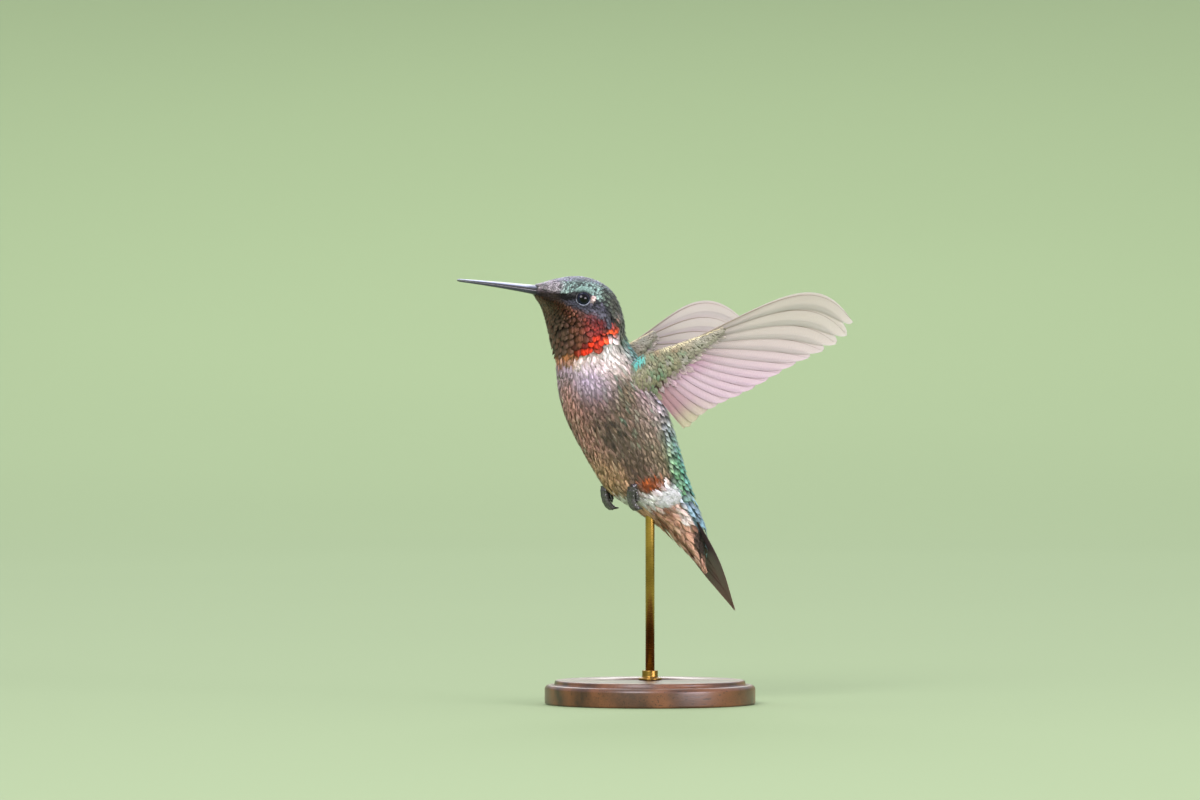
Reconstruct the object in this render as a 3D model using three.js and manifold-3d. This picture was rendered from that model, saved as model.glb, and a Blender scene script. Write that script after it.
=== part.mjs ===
// Ruby-throated hummingbird, adult male, hovering: a life-size still model on a display stand.
// Millimetres, +Z up. The bird faces -X and its left side is towards -Y, so y = 0 is its middle plane.
// The origin is the middle of the stand's underside.
import * as THREE from "three";
import { mergeVertices } from "three/addons/utils/BufferGeometryUtils.js";
import Module from "manifold-3d";

const wasm = await Module();
wasm.setup();

// ---------------------------------------------------------------- driving dimensions

const CUT = 0.25; // width of the thin cuts that part the body, and the gap round a fitted piece
const FINE_CUT = 0.12; // the same between the small hard parts: the mandibles, and the eye in its socket

// The bird's outline in its middle plane, from the bill to the ends of the tail coverts.
// Each ring has its lowest point (belly side), its highest point (back side) and its half width.
const BODY_RINGS = [
  { belly: [-23.5, 71.75], back: [-23.5, 73.3], half: 0.95 }, // foot of the bill
  { belly: [-22.2, 70.7], back: [-21.4, 73.75], half: 2.3 }, // lores
  { belly: [-20.4, 68.9], back: [-18.2, 74.5], half: 4.4 }, // face
  { belly: [-19.6, 66.9], back: [-14.7, 74.85], half: 5.6 }, // eyes
  { belly: [-19.1, 64.9], back: [-11.3, 74.1], half: 6.1 }, // crown
  { belly: [-18.6, 62.7], back: [-8.4, 72.1], half: 6.2 }, // back of the crown
  { belly: [-18.1, 60.2], back: [-6.6, 68.4], half: 6.0 }, // nape
  { belly: [-17.8, 57.4], back: [-5.9, 64.5], half: 6.1 }, // collar
  { belly: [-17.1, 53.8], back: [-3.0, 60.2], half: 7.2 }, // shoulders
  { belly: [-15.6, 49.8], back: [0.2, 55.2], half: 8.0 }, // breast
  { belly: [-13.3, 45.7], back: [2.9, 49.6], half: 7.9 }, // upper belly
  { belly: [-10.6, 41.4], back: [5.1, 43.8], half: 7.2 }, // lower belly
  { belly: [-7.7, 37.4], back: [7.1, 38.6], half: 6.2 }, // legs
  { belly: [-2.7, 34.2], back: [9.2, 34.3], half: 4.9 }, // vent
  { belly: [2.4, 30.9], back: [10.9, 30.8], half: 3.4 }, // root of the tail
  { belly: [6.6, 27.3], back: [11.4, 27.8], half: 1.9 }, // ends of the uppertail coverts
  { belly: [9.7, 24.5], back: [11.5, 25.2], half: 1.0 }, // undertail coverts
  { belly: [11.2, 22.7], back: [11.7, 23.1], half: 0.35 }, // their ends
];
const BODY_STEPS = 36; // rings along the body
const BODY_SIDES = 24; // corners round each ring
const SQUARENESS = 2.15; // exponent of the rings' outline: 2 is an ellipse

const EYE = { at: [-16.53, 4.75, 70.88], radius: 1.5, sides: 12 };

const BILL = {
  length: 15.1, // exposed culmen, less the cut at its foot
  pitch: 7.1, // degrees that it points up
  foot: [-23.65, 72.52], // middle of its foot, in the middle plane
  depth: 1.58,
  width: 1.75,
  tipDepth: 0.42,
  tipWidth: 0.5,
  droop: 0.35, // how far the tip curves down from a straight line
  steps: 8,
  sides: 9,
};

// Where the body is parted, as lines (x, z) across the middle plane.
const CUTS = {
  gape: [[-24.2, 72.4], [-6.0, 65.2]], // head above, throat below
  collar: [[-20.0, 60.9], [-4.0, 65.2]], // throat above, neck below
  neck: [[-19.0, 55.9], [-1.0, 61.8]], // neck above, trunk below
  breast: [[-15.0, 44.6], [5.0, 52.6]], // breast above, belly below
  vent: [[-9.0, 36.2], [9.0, 40.4]], // belly above, vent below
  back: [[-6.3, 59.5], [3.6, 38.4]], // back on the far side, breast and belly on the near side
};

// The tail: a closed fan of five rectrices a side, in one plane that slopes down and back.
const TAIL = {
  root: [2.6, 40.6],
  tip: [17.6, 16.4],
  thickness: 0.6,
  lengths: [20.5, 22.8, 25.4, 27.7, 28.6], // rectrix 1, in the middle, to 5, outside
  tipAcross: [0.3, 0.5, 0.55, 0.45, 0.25], // how far each tip lies from the middle
  baseHalf: 1.5,
  bulge: { left: 3.0, right: 4.2 }, // how far the outer edge bows out on each side
  bow: [0, 0.36, 0.66, 0.92, 1.07, 1.06, 0.8, 0.38, 0], // how that grows and fades along the tail
  notch: 0.9, // share of its length at which a feather parts from its neighbour
};

// The wings, swept back and up, leading edge uppermost. s runs from the shoulder to the wing's tip,
// c from the leading edge to the trailing edge, and n out of the wing's under side.
const WING = {
  shoulder: [-5.8, 6.5, 58.3],
  along: [0.909, 0.296, 0.292],
  outward: [-0.208, 0.932, -0.296],
  dip: { left: 0, right: 2 }, // degrees that each wing is below that line, as the beat is a little uneven
  thickness: 0.55,
  relief: 0.1, // how far each feather's middle stands above its edges
  camber: 0.016, // how fast the vanes curve towards the under side, per mm
  camberAt: 1.5,
  elbow: [0.6, 2.4], // base of the innermost secondary
  wrist: [4.6, -0.9], // where the secondaries end and the primaries start
  fingertip: [10.8, -3.0], // base of the outermost primary
  notch: 0.975, // share of its length at which a feather parts from its neighbour
  rows: 5, // steps along a feather, closer together towards its tip
};
const SECONDARY_TIPS = [[4.9, 12.0], [6.2, 11.9], [7.7, 11.1], [9.5, 10.4], [11.5, 10.0], [13.7, 9.6]];
const PRIMARY_TIPS = [
  [16.2, 9.4], [18.8, 9.0], [21.5, 8.4], [24.2, 7.8], [27.0, 7.2],
  [29.9, 6.8], [32.7, 6.4], [35.4, 5.9], [37.7, 5.0], [39.3, 3.0],
];
// How far the feathers bow forward, and how late they hook back, by their share of the way outwards.
const BOW = {
  bend: [[0, -0.02], [0.15, -0.12], [0.3, -0.25], [0.45, -0.24], [0.6, -0.14], [0.75, 0.08], [0.9, 0.3], [1, 0.42]],
  hook: [[0, 1], [0.6, 1.2], [0.8, 3], [1, 4]],
};

// The feathered arm, from the shoulder to the end of the hand: sections across the wing.
const ARM_SECTIONS = [
  { s: -3.4, c: 2.4, chord: 2.2, thick: 1.1 },
  { s: -1.0, c: 1.9, chord: 3.9, thick: 1.9 },
  { s: 1.6, c: 1.0, chord: 4.2, thick: 1.85 },
  { s: 4.0, c: 0.5, chord: 3.6, thick: 1.5 },
  { s: 7.0, c: -0.3, chord: 2.7, thick: 1.15 },
  { s: 11.0, c: -1.4, chord: 1.8, thick: 0.85 },
  { s: 15.0, c: -2.5, chord: 0.95, thick: 0.62 },
  { s: 17.6, c: -3.25, chord: 0.5, thick: 0.45 },
];
const ARM_STEPS = 12;
const ARM_SIDES = 12;

// The legs: a feathered thigh, a short shank and four toes curled up under it.
const LEG = {
  thigh: { at: [1.1, 4.1, 37.0], size: [2.7, 1.9, 2.3] },
  hip: [-2.0, 4.3, 38.6], // where the shank starts, inside the belly
  ankle: [-4.6, 4.6, 38.8],
  knuckle: [-6.45, 4.75, 38.2],
  shank: 0.42, // radius
  toe: 0.48,
  claw: 0.12,
  spread: 0.52, // sideways step from one front toe to the next
  lean: 0.14, // how far the toes lean in as they hang down
  sides: 6,
};
// The front toes and the hind toe in their own planes, as (back, up) from the knuckle, with their claws.
const FRONT_TOE = [[0, 0], [-0.12, -1.35], [0.2, -2.75], [1.0, -3.7], [2.3, -3.8]];
const HIND_TOE = [[0.45, -0.1], [0.85, -1.0], [1.15, -2.0], [1.3, -2.9]];

const STAND = {
  radius: 18.5,
  height: 4.2,
  bevel: 0.8,
  sides: 36,
  rodRadius: 0.8,
  rodTop: 35.6,
  rodSides: 12,
  collarSides: 20,
  collarRadius: 2.1,
  collarHeight: 1.7,
  socketDepth: 1.2, // how deep the rod goes into the base
};

const FINISH = {
  green: { color: 0x3f6b4a, roughness: 0.5, metalness: 0.2 },
  gorget: { color: 0xa0260f, roughness: 0.4, metalness: 0.3 },
  white: { color: 0xe6ddd6, roughness: 0.85, metalness: 0 },
  grey: { color: 0x8b7f70, roughness: 0.85, metalness: 0 },
  quill: { color: 0x5b4b4e, roughness: 0.6, metalness: 0 },
  bill: { color: 0x23222a, roughness: 0.35, metalness: 0 },
  eye: { color: 0x08080a, roughness: 0.05, metalness: 0 },
  foot: { color: 0x1d1816, roughness: 0.5, metalness: 0 },
  wood: { color: 0x5a3820, roughness: 0.45, metalness: 0 },
  brass: { color: 0xb48a3c, roughness: 0.3, metalness: 1 },
};

// ---------------------------------------------------------------- small tools

const { lerp } = THREE.MathUtils;

/** Uniform Catmull-Rom value through a list of numbers, at t from 0 to 1. */
function through(values, t) {
  const last = values.length - 1;
  const k = Math.min(Math.floor(t * last), last - 1);
  const u = t * last - k;
  const at = (i) => values[THREE.MathUtils.clamp(i, 0, last)];
  const [a, b, c, d] = [at(k - 1), at(k), at(k + 1), at(k + 2)];
  return b + 0.5 * u * (c - a + u * (2 * a - 5 * b + 4 * c - d + u * (3 * (b - c) + d - a)));
}

/** The value at x of a line through stops, as [x, value] pairs. */
function alongLine(stops, x) {
  const k = Math.max(stops.findIndex(([at]) => at >= x), 1);
  const [[x1, v1], [x2, v2]] = [stops[k - 1], stops[k]];
  return lerp(v1, v2, (x - x1) / (x2 - x1));
}

/** A closed solid from equal loops of points. Strips of triangles cap its ends, which fits curved edges. */
function loft(loops) {
  const n = loops[0].length;
  const position = loops.flat().flatMap((p) => [p.x, p.y, p.z]);
  const index = [];
  for (let i = 0; i + 1 < loops.length; i++)
    for (let j = 0; j < n; j++) {
      const [a, b] = [i * n + j, i * n + ((j + 1) % n)];
      index.push(a, b, b + n, a, b + n, a + n);
    }
  const cap = (first, turned) => {
    const face = (a, b, c) => index.push(first + a, first + (turned ? c : b), first + (turned ? b : c));
    for (let [low, high] = [0, n - 1]; high - low > 1; low++, high--) {
      face(low, low + 1, high);
      if (high - low > 2) face(low + 1, high - 1, high);
    }
  };
  cap(0, true);
  cap((loops.length - 1) * n, false);
  const geometry = new THREE.BufferGeometry();
  geometry.setAttribute("position", new THREE.Float32BufferAttribute(position, 3));
  return solid(geometry.setIndex(index));
}

/** A manifold-3d solid of a closed geometry, turned to face out. */
function solid(geometry) {
  const bare = geometry.clone();
  bare.deleteAttribute("normal");
  bare.deleteAttribute("uv");
  const merged = mergeVertices(bare, 1e-5);
  const triVerts = new Uint32Array(merged.index.array);
  const vertProperties = merged.attributes.position.array;
  const made = new wasm.Manifold(new wasm.Mesh({ numProp: 3, vertProperties, triVerts }));
  if (made.volume() > 0) return made;
  for (let i = 0; i < triVerts.length; i += 3)
    [triVerts[i + 1], triVerts[i + 2]] = [triVerts[i + 2], triVerts[i + 1]];
  return new wasm.Manifold(new wasm.Mesh({ numProp: 3, vertProperties, triVerts }));
}

/** A named mesh of a solid. */
function mesh(name, shape, finish) {
  const { vertProperties, triVerts } = shape.getMesh();
  const geometry = new THREE.BufferGeometry();
  geometry.setAttribute("position", new THREE.BufferAttribute(new Float32Array(vertProperties), 3));
  geometry.setIndex(new THREE.BufferAttribute(new Uint32Array(triVerts), 1));
  geometry.computeVertexNormals();
  const made = new THREE.Mesh(geometry, new THREE.MeshStandardMaterial(FINISH[finish]));
  made.name = name;
  return made;
}

const REACH = 200; // half size of the blocks that part the body

/** The block on one side of a line across the middle plane, half a cut away from it. side 1 is above. */
function block([[x1, z1], [x2, z2]], side) {
  const shape = new THREE.BoxGeometry(2 * REACH, 2 * REACH, 2 * REACH);
  shape.translate(0, 0, side * (REACH + CUT / 2));
  shape.rotateY(-Math.atan2(z2 - z1, x2 - x1));
  shape.translate(x1, 0, z1);
  return solid(shape);
}

/** A tube along points with a radius at each, its sections across the points' own line. */
function tube(points, radii, sides) {
  const curve = new THREE.CatmullRomCurve3(points);
  const steps = points.length + 1;
  const frames = curve.computeFrenetFrames(steps, false);
  const loops = Array.from({ length: steps + 1 }, (_, i) => {
    const at = curve.getPointAt(i / steps);
    const r = through(radii, i / steps);
    return Array.from({ length: sides }, (_, j) => {
      const turn = (2 * Math.PI * j) / sides;
      return at
        .clone()
        .addScaledVector(frames.normals[i], r * Math.cos(turn))
        .addScaledVector(frames.binormals[i], r * Math.sin(turn));
    });
  });
  return loft(loops);
}

// ---------------------------------------------------------------- body

/** One ring of the body at t from 0, the bill, to 1, the ends of the coverts. grow makes it fatter. */
function bodyRing(t, grow) {
  const column = (pick) => through(BODY_RINGS.map(pick), t);
  const belly = new THREE.Vector3(column((r) => r.belly[0]), 0, column((r) => r.belly[1]));
  const back = new THREE.Vector3(column((r) => r.back[0]), 0, column((r) => r.back[1]));
  const across = back.clone().sub(belly);
  const deep = across.length() / 2 + grow;
  const wide = column((r) => r.half) + grow;
  const middle = belly.clone().add(back).multiplyScalar(0.5);
  const up = across.normalize();
  const round = (v) => Math.sign(v) * Math.abs(v) ** (2 / SQUARENESS);
  return Array.from({ length: BODY_SIDES }, (_, j) => {
    const turn = (2 * Math.PI * j) / BODY_SIDES;
    return middle
      .clone()
      .addScaledVector(up, deep * round(Math.cos(turn)))
      .add(new THREE.Vector3(0, -wide * round(Math.sin(turn)), 0));
  });
}

function bodySolid(grow = 0) {
  return loft(Array.from({ length: BODY_STEPS + 1 }, (_, i) => bodyRing(i / BODY_STEPS, grow)));
}

/** A ball, or an ellipsoid with the given half sizes. */
function ball([x, y, z], [rx, ry, rz], sides) {
  const shape = new THREE.SphereGeometry(1, sides, Math.round(sides * 0.7));
  return solid(shape.rotateX(Math.PI / 2).scale(rx, ry, rz).translate(x, y, z));
}

const mirrored = ([x, y, z], side) => [x, side * y, z];
const eyeball = (side, grow = 0) =>
  ball(mirrored(EYE.at, side), Array(3).fill(EYE.radius + grow), EYE.sides);

// ---------------------------------------------------------------- bill

/** One mandible: the upper half of the bill's section (half 1) or the lower (half -1). */
function mandible(half) {
  const pitch = THREE.MathUtils.degToRad(BILL.pitch);
  const loops = Array.from({ length: BILL.steps + 1 }, (_, i) => {
    const t = i / BILL.steps;
    const deep = lerp(BILL.depth, BILL.tipDepth, t ** 0.8) / 2;
    const wide = lerp(BILL.width, BILL.tipWidth, t ** 0.7) / 2;
    const fade = t > 0.93 ? 0.45 : 1; // the last step rounds the tip
    const reach = BILL.length * t;
    const x = BILL.foot[0] - reach * Math.cos(pitch);
    const z = BILL.foot[1] + reach * Math.sin(pitch) - BILL.droop * t * t;
    return Array.from({ length: BILL.sides }, (_, j) => {
      const turn = (Math.PI * j) / (BILL.sides - 1);
      const y = wide * fade * Math.cos(turn);
      return new THREE.Vector3(x, y, z + half * (FINE_CUT / 2 + deep * fade * Math.sin(turn)));
    });
  });
  return loft(loops);
}

// ---------------------------------------------------------------- feathered sheets

/** The point at t of a bow from a to b, both (s, c): it rises towards the leading edge, then hooks back. */
function bow(a, b, share, t) {
  const [ds, dc] = [b[0] - a[0], b[1] - a[1]];
  const rise = alongLine(BOW.bend, share) * t * (1 - t ** alongLine(BOW.hook, share));
  return [a[0] + ds * t + dc * rise, a[1] + dc * t - ds * rise];
}

/** A closed sheet of feathers. columns are functions of t from base to tip; place maps (s, c, n) to space. */
function sheet(columns, thickness, relief, place) {
  const skin = (side) =>
    columns.map((column, q) =>
      Array.from({ length: WING.rows + 1 }, (_, i) => {
        const t = Math.sin((Math.PI / 2) * (i / WING.rows));
        const [s, c] = column(t);
        const lift = (q % 2 ? 1 : -1) * relief * t;
        return place(s, c, (side * thickness) / 2 + lift);
      }),
    );
  const [over, under] = [skin(1), skin(-1)];
  return loft(columns.map((_, q) => [...over[q], ...under[q].reverse()]));
}

// ---------------------------------------------------------------- wings

/** Maps wing coordinates (s, c, n) to space on one side of the bird: side -1 is the left. */
function wingPlace(side) {
  const origin = new THREE.Vector3(...mirrored(WING.shoulder, side));
  const outward = new THREE.Vector3(...mirrored(WING.outward, side)).normalize();
  const dip = THREE.MathUtils.degToRad(side < 0 ? WING.dip.left : WING.dip.right);
  const level = new THREE.Vector3(...mirrored(WING.along, side)).normalize();
  const along = level.applyAxisAngle(outward, side * dip);
  const down = new THREE.Vector3().crossVectors(outward, along).multiplyScalar(side).normalize();
  return (s, c, n) =>
    origin
      .clone()
      .addScaledVector(along, s)
      .addScaledVector(down, c)
      .addScaledVector(outward, n + WING.camber * (c - WING.camberAt) ** 2);
}

function arm(side, grow = 0) {
  const place = wingPlace(side);
  const column = (pick, t) => through(ARM_SECTIONS.map(pick), t);
  return loft(
    Array.from({ length: ARM_STEPS + 1 }, (_, i) => {
      const t = i / ARM_STEPS;
      const chord = column((a) => a.chord, t) + grow;
      const thick = column((a) => a.thick, t) + grow;
      const s = column((a) => a.s, t) + (i === ARM_STEPS ? grow : 0);
      return Array.from({ length: ARM_SIDES }, (_, j) => {
        const turn = (2 * Math.PI * j) / ARM_SIDES;
        return place(s, column((a) => a.c, t) + chord * Math.cos(turn), thick * Math.sin(turn));
      });
    }),
  );
}

/** Column q of the wing's fan. Odd columns are the feathers' middles, even ones the lines between them. */
function wingColumn(q, shift) {
  const tips = [...SECONDARY_TIPS, ...PRIMARY_TIPS];
  const last = 2 * tips.length;
  const wristAt = 2 * SECONDARY_TIPS.length;
  const between = (a, b, t) => [lerp(a[0], b[0], t) + shift, lerp(a[1], b[1], t)];
  const base =
    q < wristAt
      ? between(WING.elbow, WING.wrist, q / wristAt)
      : between(WING.wrist, WING.fingertip, (q - wristAt) / (last - wristAt));
  const inner = tips[Math.max(Math.ceil(q / 2) - 1, 0)];
  const outer = tips[Math.min(Math.floor(q / 2), tips.length - 1)];
  const tip = between(inner, outer, 0.5);
  const inside = q % 2 === 0 && q > 0 && q < last;
  return (t) => bow(base, tip, q / last, t * (inside ? WING.notch : 1));
}

/** The sheet of feathers from column first to column last, a little short of the next sheet at cutAt. */
function vanes(side, first, last, cutAt) {
  const columns = [];
  for (let q = first; q <= last; q++)
    columns.push(wingColumn(q, q === cutAt ? (q === first ? 1 : -1) * (CUT / 2) : 0));
  return sheet(columns, WING.thickness, WING.relief, wingPlace(side));
}

// ---------------------------------------------------------------- tail

/** Maps tail coordinates (s down the tail, c across it, n out of its upper side) to space. */
function tailPlace(s, c, n) {
  const [rootX, rootZ] = TAIL.root;
  const down = new THREE.Vector3(TAIL.tip[0] - rootX, 0, TAIL.tip[1] - rootZ).normalize();
  const outward = new THREE.Vector3(-down.z, 0, down.x);
  return new THREE.Vector3(rootX, c, rootZ).addScaledVector(down, s).addScaledVector(outward, n);
}

/** Column q of one side of the tail, from 0 in the middle to the outer edge. */
function tailColumn(q, side) {
  const count = TAIL.lengths.length;
  const out = q / (2 * count);
  const inner = Math.max(Math.ceil(q / 2) - 1, 0);
  const outer = Math.min(Math.floor(q / 2), count - 1);
  const notched = q % 2 === 0 && q < 2 * count;
  const reach = Math.min(TAIL.lengths[inner], TAIL.lengths[outer]) * (notched ? TAIL.notch : 1);
  const across = q === 0 ? 0 : (TAIL.tipAcross[inner] + TAIL.tipAcross[outer]) / 2 + 0.02 * q;
  const bulge = (side < 0 ? TAIL.bulge.left : TAIL.bulge.right) * out;
  return (t) => [reach * t, lerp(TAIL.baseHalf * out, across, t) + bulge * through(TAIL.bow, t)];
}

function tailHalf(side) {
  const columns = Array.from({ length: 2 * TAIL.lengths.length + 1 }, (_, q) => tailColumn(q, side));
  const place = (s, c, n) => tailPlace(s, side * (c + CUT / 2), n);
  return sheet(columns, TAIL.thickness, WING.relief, place);
}

/** The slot in the rump that both sides of the tail lie in. */
function tailSlot() {
  const rim = (side) => {
    const edge = tailColumn(2 * TAIL.lengths.length, side);
    return (t) => {
      const [s, c] = edge(t);
      return [s - CUT * (1 - t), side * (c + 1.5 * CUT)];
    };
  };
  return sheet([rim(-1), rim(1)], TAIL.thickness + 2 * (CUT + WING.relief), 0, tailPlace);
}

// ---------------------------------------------------------------- legs

function thigh(side, grow = 0) {
  const { at, size } = LEG.thigh;
  return ball(mirrored(at, side), size.map((r) => r + grow), 2 * LEG.sides);
}

/** A toe with its claw, in the plane y = across from the knuckle. */
function toe(side, path, across) {
  const [x, y, z] = LEG.knuckle;
  const points = path.map(
    ([back, up]) => new THREE.Vector3(x + back, side * (y + across + LEG.lean * up), z + up),
  );
  const radii = points.map((_, i) => lerp(LEG.toe, LEG.claw, (i / (points.length - 1)) ** 3));
  return tube(points, radii, LEG.sides);
}

/** The shank, three front toes side by side and the hind toe, in one piece. */
function foot(side) {
  const [hip, ankle, knuckle] = [LEG.hip, LEG.ankle, LEG.knuckle].map(
    (at) => new THREE.Vector3(...mirrored(at, side)),
  );
  return tube([hip, ankle, knuckle], [LEG.shank, LEG.shank, LEG.toe], LEG.sides)
    .add(toe(side, FRONT_TOE, 0))
    .add(toe(side, FRONT_TOE, LEG.spread))
    .add(toe(side, FRONT_TOE, -LEG.spread))
    .add(toe(side, HIND_TOE, 0));
}

// ---------------------------------------------------------------- stand

function turned(profile, sides) {
  const points = profile.map(([r, z]) => new THREE.Vector2(r, z));
  return solid(new THREE.LatheGeometry(points, sides).rotateX(Math.PI / 2));
}

function rodSolid(grow = 0) {
  const radius = STAND.rodRadius + grow;
  const foot = STAND.height - STAND.socketDepth - grow;
  const top = STAND.rodTop + grow;
  const dome = 0.3;
  const profile = [[0, foot], [radius, foot], [radius, top - dome], [radius - dome, top], [0, top]];
  return turned(profile, STAND.rodSides);
}

function baseSolid() {
  const { radius, height, bevel } = STAND;
  const lip = radius - 2.2 * bevel;
  const step = height - bevel;
  const profile = [
    [0, 0], [radius - bevel / 2, 0], [radius, bevel / 2], [radius, step - bevel],
    [radius - bevel, step], [lip, step], [lip - bevel / 2, height], [0, height],
  ];
  return turned(profile, STAND.sides).subtract(rodSolid(FINE_CUT));
}

function collarSolid() {
  const { collarRadius: radius, collarHeight: high, height, bevel } = STAND;
  const foot = height + FINE_CUT;
  const hole = STAND.rodRadius + FINE_CUT;
  const waist = lerp(hole, radius, 0.45);
  const profile = [
    [hole, foot], [radius, foot], [radius, foot + bevel / 2], [waist, foot + bevel],
    [waist, foot + high], [hole, foot + high], [hole, foot],
  ];
  return turned(profile, STAND.collarSides);
}

// ---------------------------------------------------------------- assembly

const bird = new THREE.Group();
const add = (name, shape, finish) => bird.add(mesh(name, shape, finish));
const SIDES = [["left", -1], ["right", 1]];

const whole = bodySolid().subtract(tailSlot());
const above = Object.fromEntries(Object.entries(CUTS).map(([k, line]) => [k, block(line, 1)]));
const below = Object.fromEntries(Object.entries(CUTS).map(([k, line]) => [k, block(line, -1)]));

const skull = whole.intersect(above.collar);
const sockets = eyeball(-1, FINE_CUT).add(eyeball(1, FINE_CUT));
add("head", skull.intersect(above.gape).subtract(sockets), "green");
add("throat", skull.intersect(below.gape), "gorget");
add("neck", whole.intersect(below.collar).intersect(above.neck), "white");

const trunk = whole.intersect(below.neck);
const front = trunk.intersect(below.back);
add("back", trunk.intersect(above.back).intersect(above.vent), "green");
add("rump", trunk.intersect(above.back).intersect(below.vent), "green");
add("breast", front.intersect(above.breast), "grey");
add("belly", front.intersect(below.breast).intersect(above.vent), "grey");
add("vent", front.intersect(below.vent).subtract(rodSolid(CUT)), "white");

add("bill_upper", mandible(1), "bill");
add("bill_lower", mandible(-1), "bill");

const fatBody = bodySolid(CUT);
const wristColumn = 2 * SECONDARY_TIPS.length;
const lastColumn = wristColumn + 2 * PRIMARY_TIPS.length;

for (const [name, side] of SIDES) {
  add(`eye_${name}`, eyeball(side), "eye");

  const fatArm = arm(side, CUT);
  add(`wing_${name}_arm`, arm(side).subtract(fatBody), "green");
  const secondaries = vanes(side, 0, wristColumn, wristColumn).subtract(fatBody);
  add(`wing_${name}_secondaries`, secondaries.subtract(fatArm), "quill");
  const primaries = vanes(side, wristColumn, lastColumn, wristColumn);
  add(`wing_${name}_primaries`, primaries.subtract(fatArm), "quill");

  add(`tail_${name}`, tailHalf(side), "quill");

  add(`leg_${name}`, thigh(side).subtract(fatBody), "white");
  add(`foot_${name}`, foot(side).subtract(fatBody).subtract(thigh(side, CUT)), "foot");
}

add("stand_base", baseSolid(), "wood");
add("stand_collar", collarSolid(), "brass");
add("stand_rod", rodSolid(), "brass");

export default bird;
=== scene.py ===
"""Ruby-throated hummingbird, adult male, hovering: the looks of a life-size still model on a display stand.

Sizes in the code are millimetres and the scene is in metres. The bird faces -X, its left side is
towards -Y, and the origin is the middle of the stand's underside. The body has two coordinates:
the station runs from 0 at the bill to 17 at the ends of the tail coverts, and the turn is the angle
round it, in degrees, from 0 on the back to 180 on the belly, positive on the left side.
"""

import logging
import math
from dataclasses import dataclass, field
from enum import Enum
from typing import Callable, Sequence

import bpy
import numpy as np
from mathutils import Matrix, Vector, kdtree, noise


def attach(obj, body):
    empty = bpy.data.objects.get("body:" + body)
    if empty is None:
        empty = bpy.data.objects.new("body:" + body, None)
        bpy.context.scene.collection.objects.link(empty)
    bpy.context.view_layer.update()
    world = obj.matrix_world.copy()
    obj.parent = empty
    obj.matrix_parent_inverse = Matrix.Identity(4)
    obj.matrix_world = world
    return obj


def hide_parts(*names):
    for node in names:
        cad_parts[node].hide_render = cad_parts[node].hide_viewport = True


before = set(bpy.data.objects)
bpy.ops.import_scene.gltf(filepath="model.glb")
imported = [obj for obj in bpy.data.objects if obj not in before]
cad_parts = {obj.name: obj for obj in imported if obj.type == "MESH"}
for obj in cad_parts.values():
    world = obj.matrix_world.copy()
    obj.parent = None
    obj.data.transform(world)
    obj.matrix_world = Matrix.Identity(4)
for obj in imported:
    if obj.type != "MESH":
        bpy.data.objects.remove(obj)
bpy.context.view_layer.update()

LOG = logging.getLogger("hummingbird")
MM = 0.001  # metres in a millimetre
ROOT = "root"  # the one body of a model without joints
PAINT = "plumage"  # the colours that the finishes read
BAKE_MAP, VANE_MAP = "OFBake", "Vane"
GREEN, GREY, PALE = "plumage_green", "plumage_grey", "plumage_white"  # slot names that several pieces are passed
LEFT, RIGHT = -1, 1
ACROSS = np.array([0.0, 1.0, 0.0])  # towards the right side
SIDES = {"left": LEFT, "right": RIGHT}

Array = np.ndarray
Pair = tuple[float, float]
Triple = tuple[float, float, float]
Colour = Triple
Stops = Sequence[Pair]
Laid = tuple[Array, Array, Array]  # feathers' vertices, and their places across and along
Random = np.random.Generator
Material = bpy.types.Material
Socket = bpy.types.NodeSocket
Line = Callable[[Array], Array]  # places for shares of a length
Sheet = Callable[[Array, Array], Array]  # colours for places along and across
Space = Callable[[Array, Array, Array], Array]  # points for coordinates


# --- small tools


def srgb(text: str) -> Colour:
    """The linear colour of a hex colour such as "8a2f2a"."""
    parts = [int(text[i : i + 2], 16) / 255 for i in (0, 2, 4)]
    return tuple(p / 12.92 if p <= 0.04045 else ((p + 0.055) / 1.055) ** 2.4 for p in parts)


def ink(text: str) -> Array:
    """The linear colour of a hex colour, as an array."""
    return np.array(srgb(text))


def circle(sides: int) -> Array:
    """Evenly spaced angles round a circle."""
    return 2 * np.pi * np.arange(sides) / sides


def unit(v: Array) -> Array:
    """Vectors scaled to length 1 along their last axis."""
    return v / np.maximum(np.linalg.norm(v, axis=-1, keepdims=True), 1e-9)


def dot(a: Array, b: Array) -> Array:
    """Dot products along the last axis."""
    return (a * b).sum(-1)


def mix(a: Array, b: Array, share: Array) -> Array:
    """a where share is 0 and b where it is 1."""
    return a + (b - a) * share


def smooth(low: float, high: float, x: Array) -> Array:
    """A soft step from 0 at low to 1 at high, which may be the lower of the two."""
    t = np.clip((x - low) / (high - low), 0, 1)
    return t * t * (3 - 2 * t)


def through(values: Array, t: Array) -> Array:
    """Uniform Catmull-Rom values through rows of numbers.

    Args:
        values: one row for each stop.
        t: places from 0, the first stop, to 1, the last.

    Returns:
        A row for each place.
    """
    last = len(values) - 1
    t = np.clip(t, 0, 1)
    k = np.clip(np.floor(t * last).astype(int), 0, last - 1)
    u = (t * last - k)[..., None]
    a, b, c, d = (values[np.clip(k + i, 0, last)] for i in (-1, 0, 1, 2))
    return b + 0.5 * u * (c - a + u * (2 * a - 5 * b + 4 * c - d + u * (3 * (b - c) + d - a)))


def along_line(x: Array, stops: Stops) -> Array:
    """Straight interpolation through (x, value) stops."""
    xs, values = zip(*stops)
    return np.interp(x, xs, values)


def speckle(places: Array, size: float, seed: float = 0.0) -> Array:
    """Smooth noise from about -1 to 1 at places in millimetres, with features of the given size."""
    shift = Vector((seed, 1.7 * seed, -seed))
    return np.array([noise.noise(Vector(p) / size + shift) for p in places])


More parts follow.
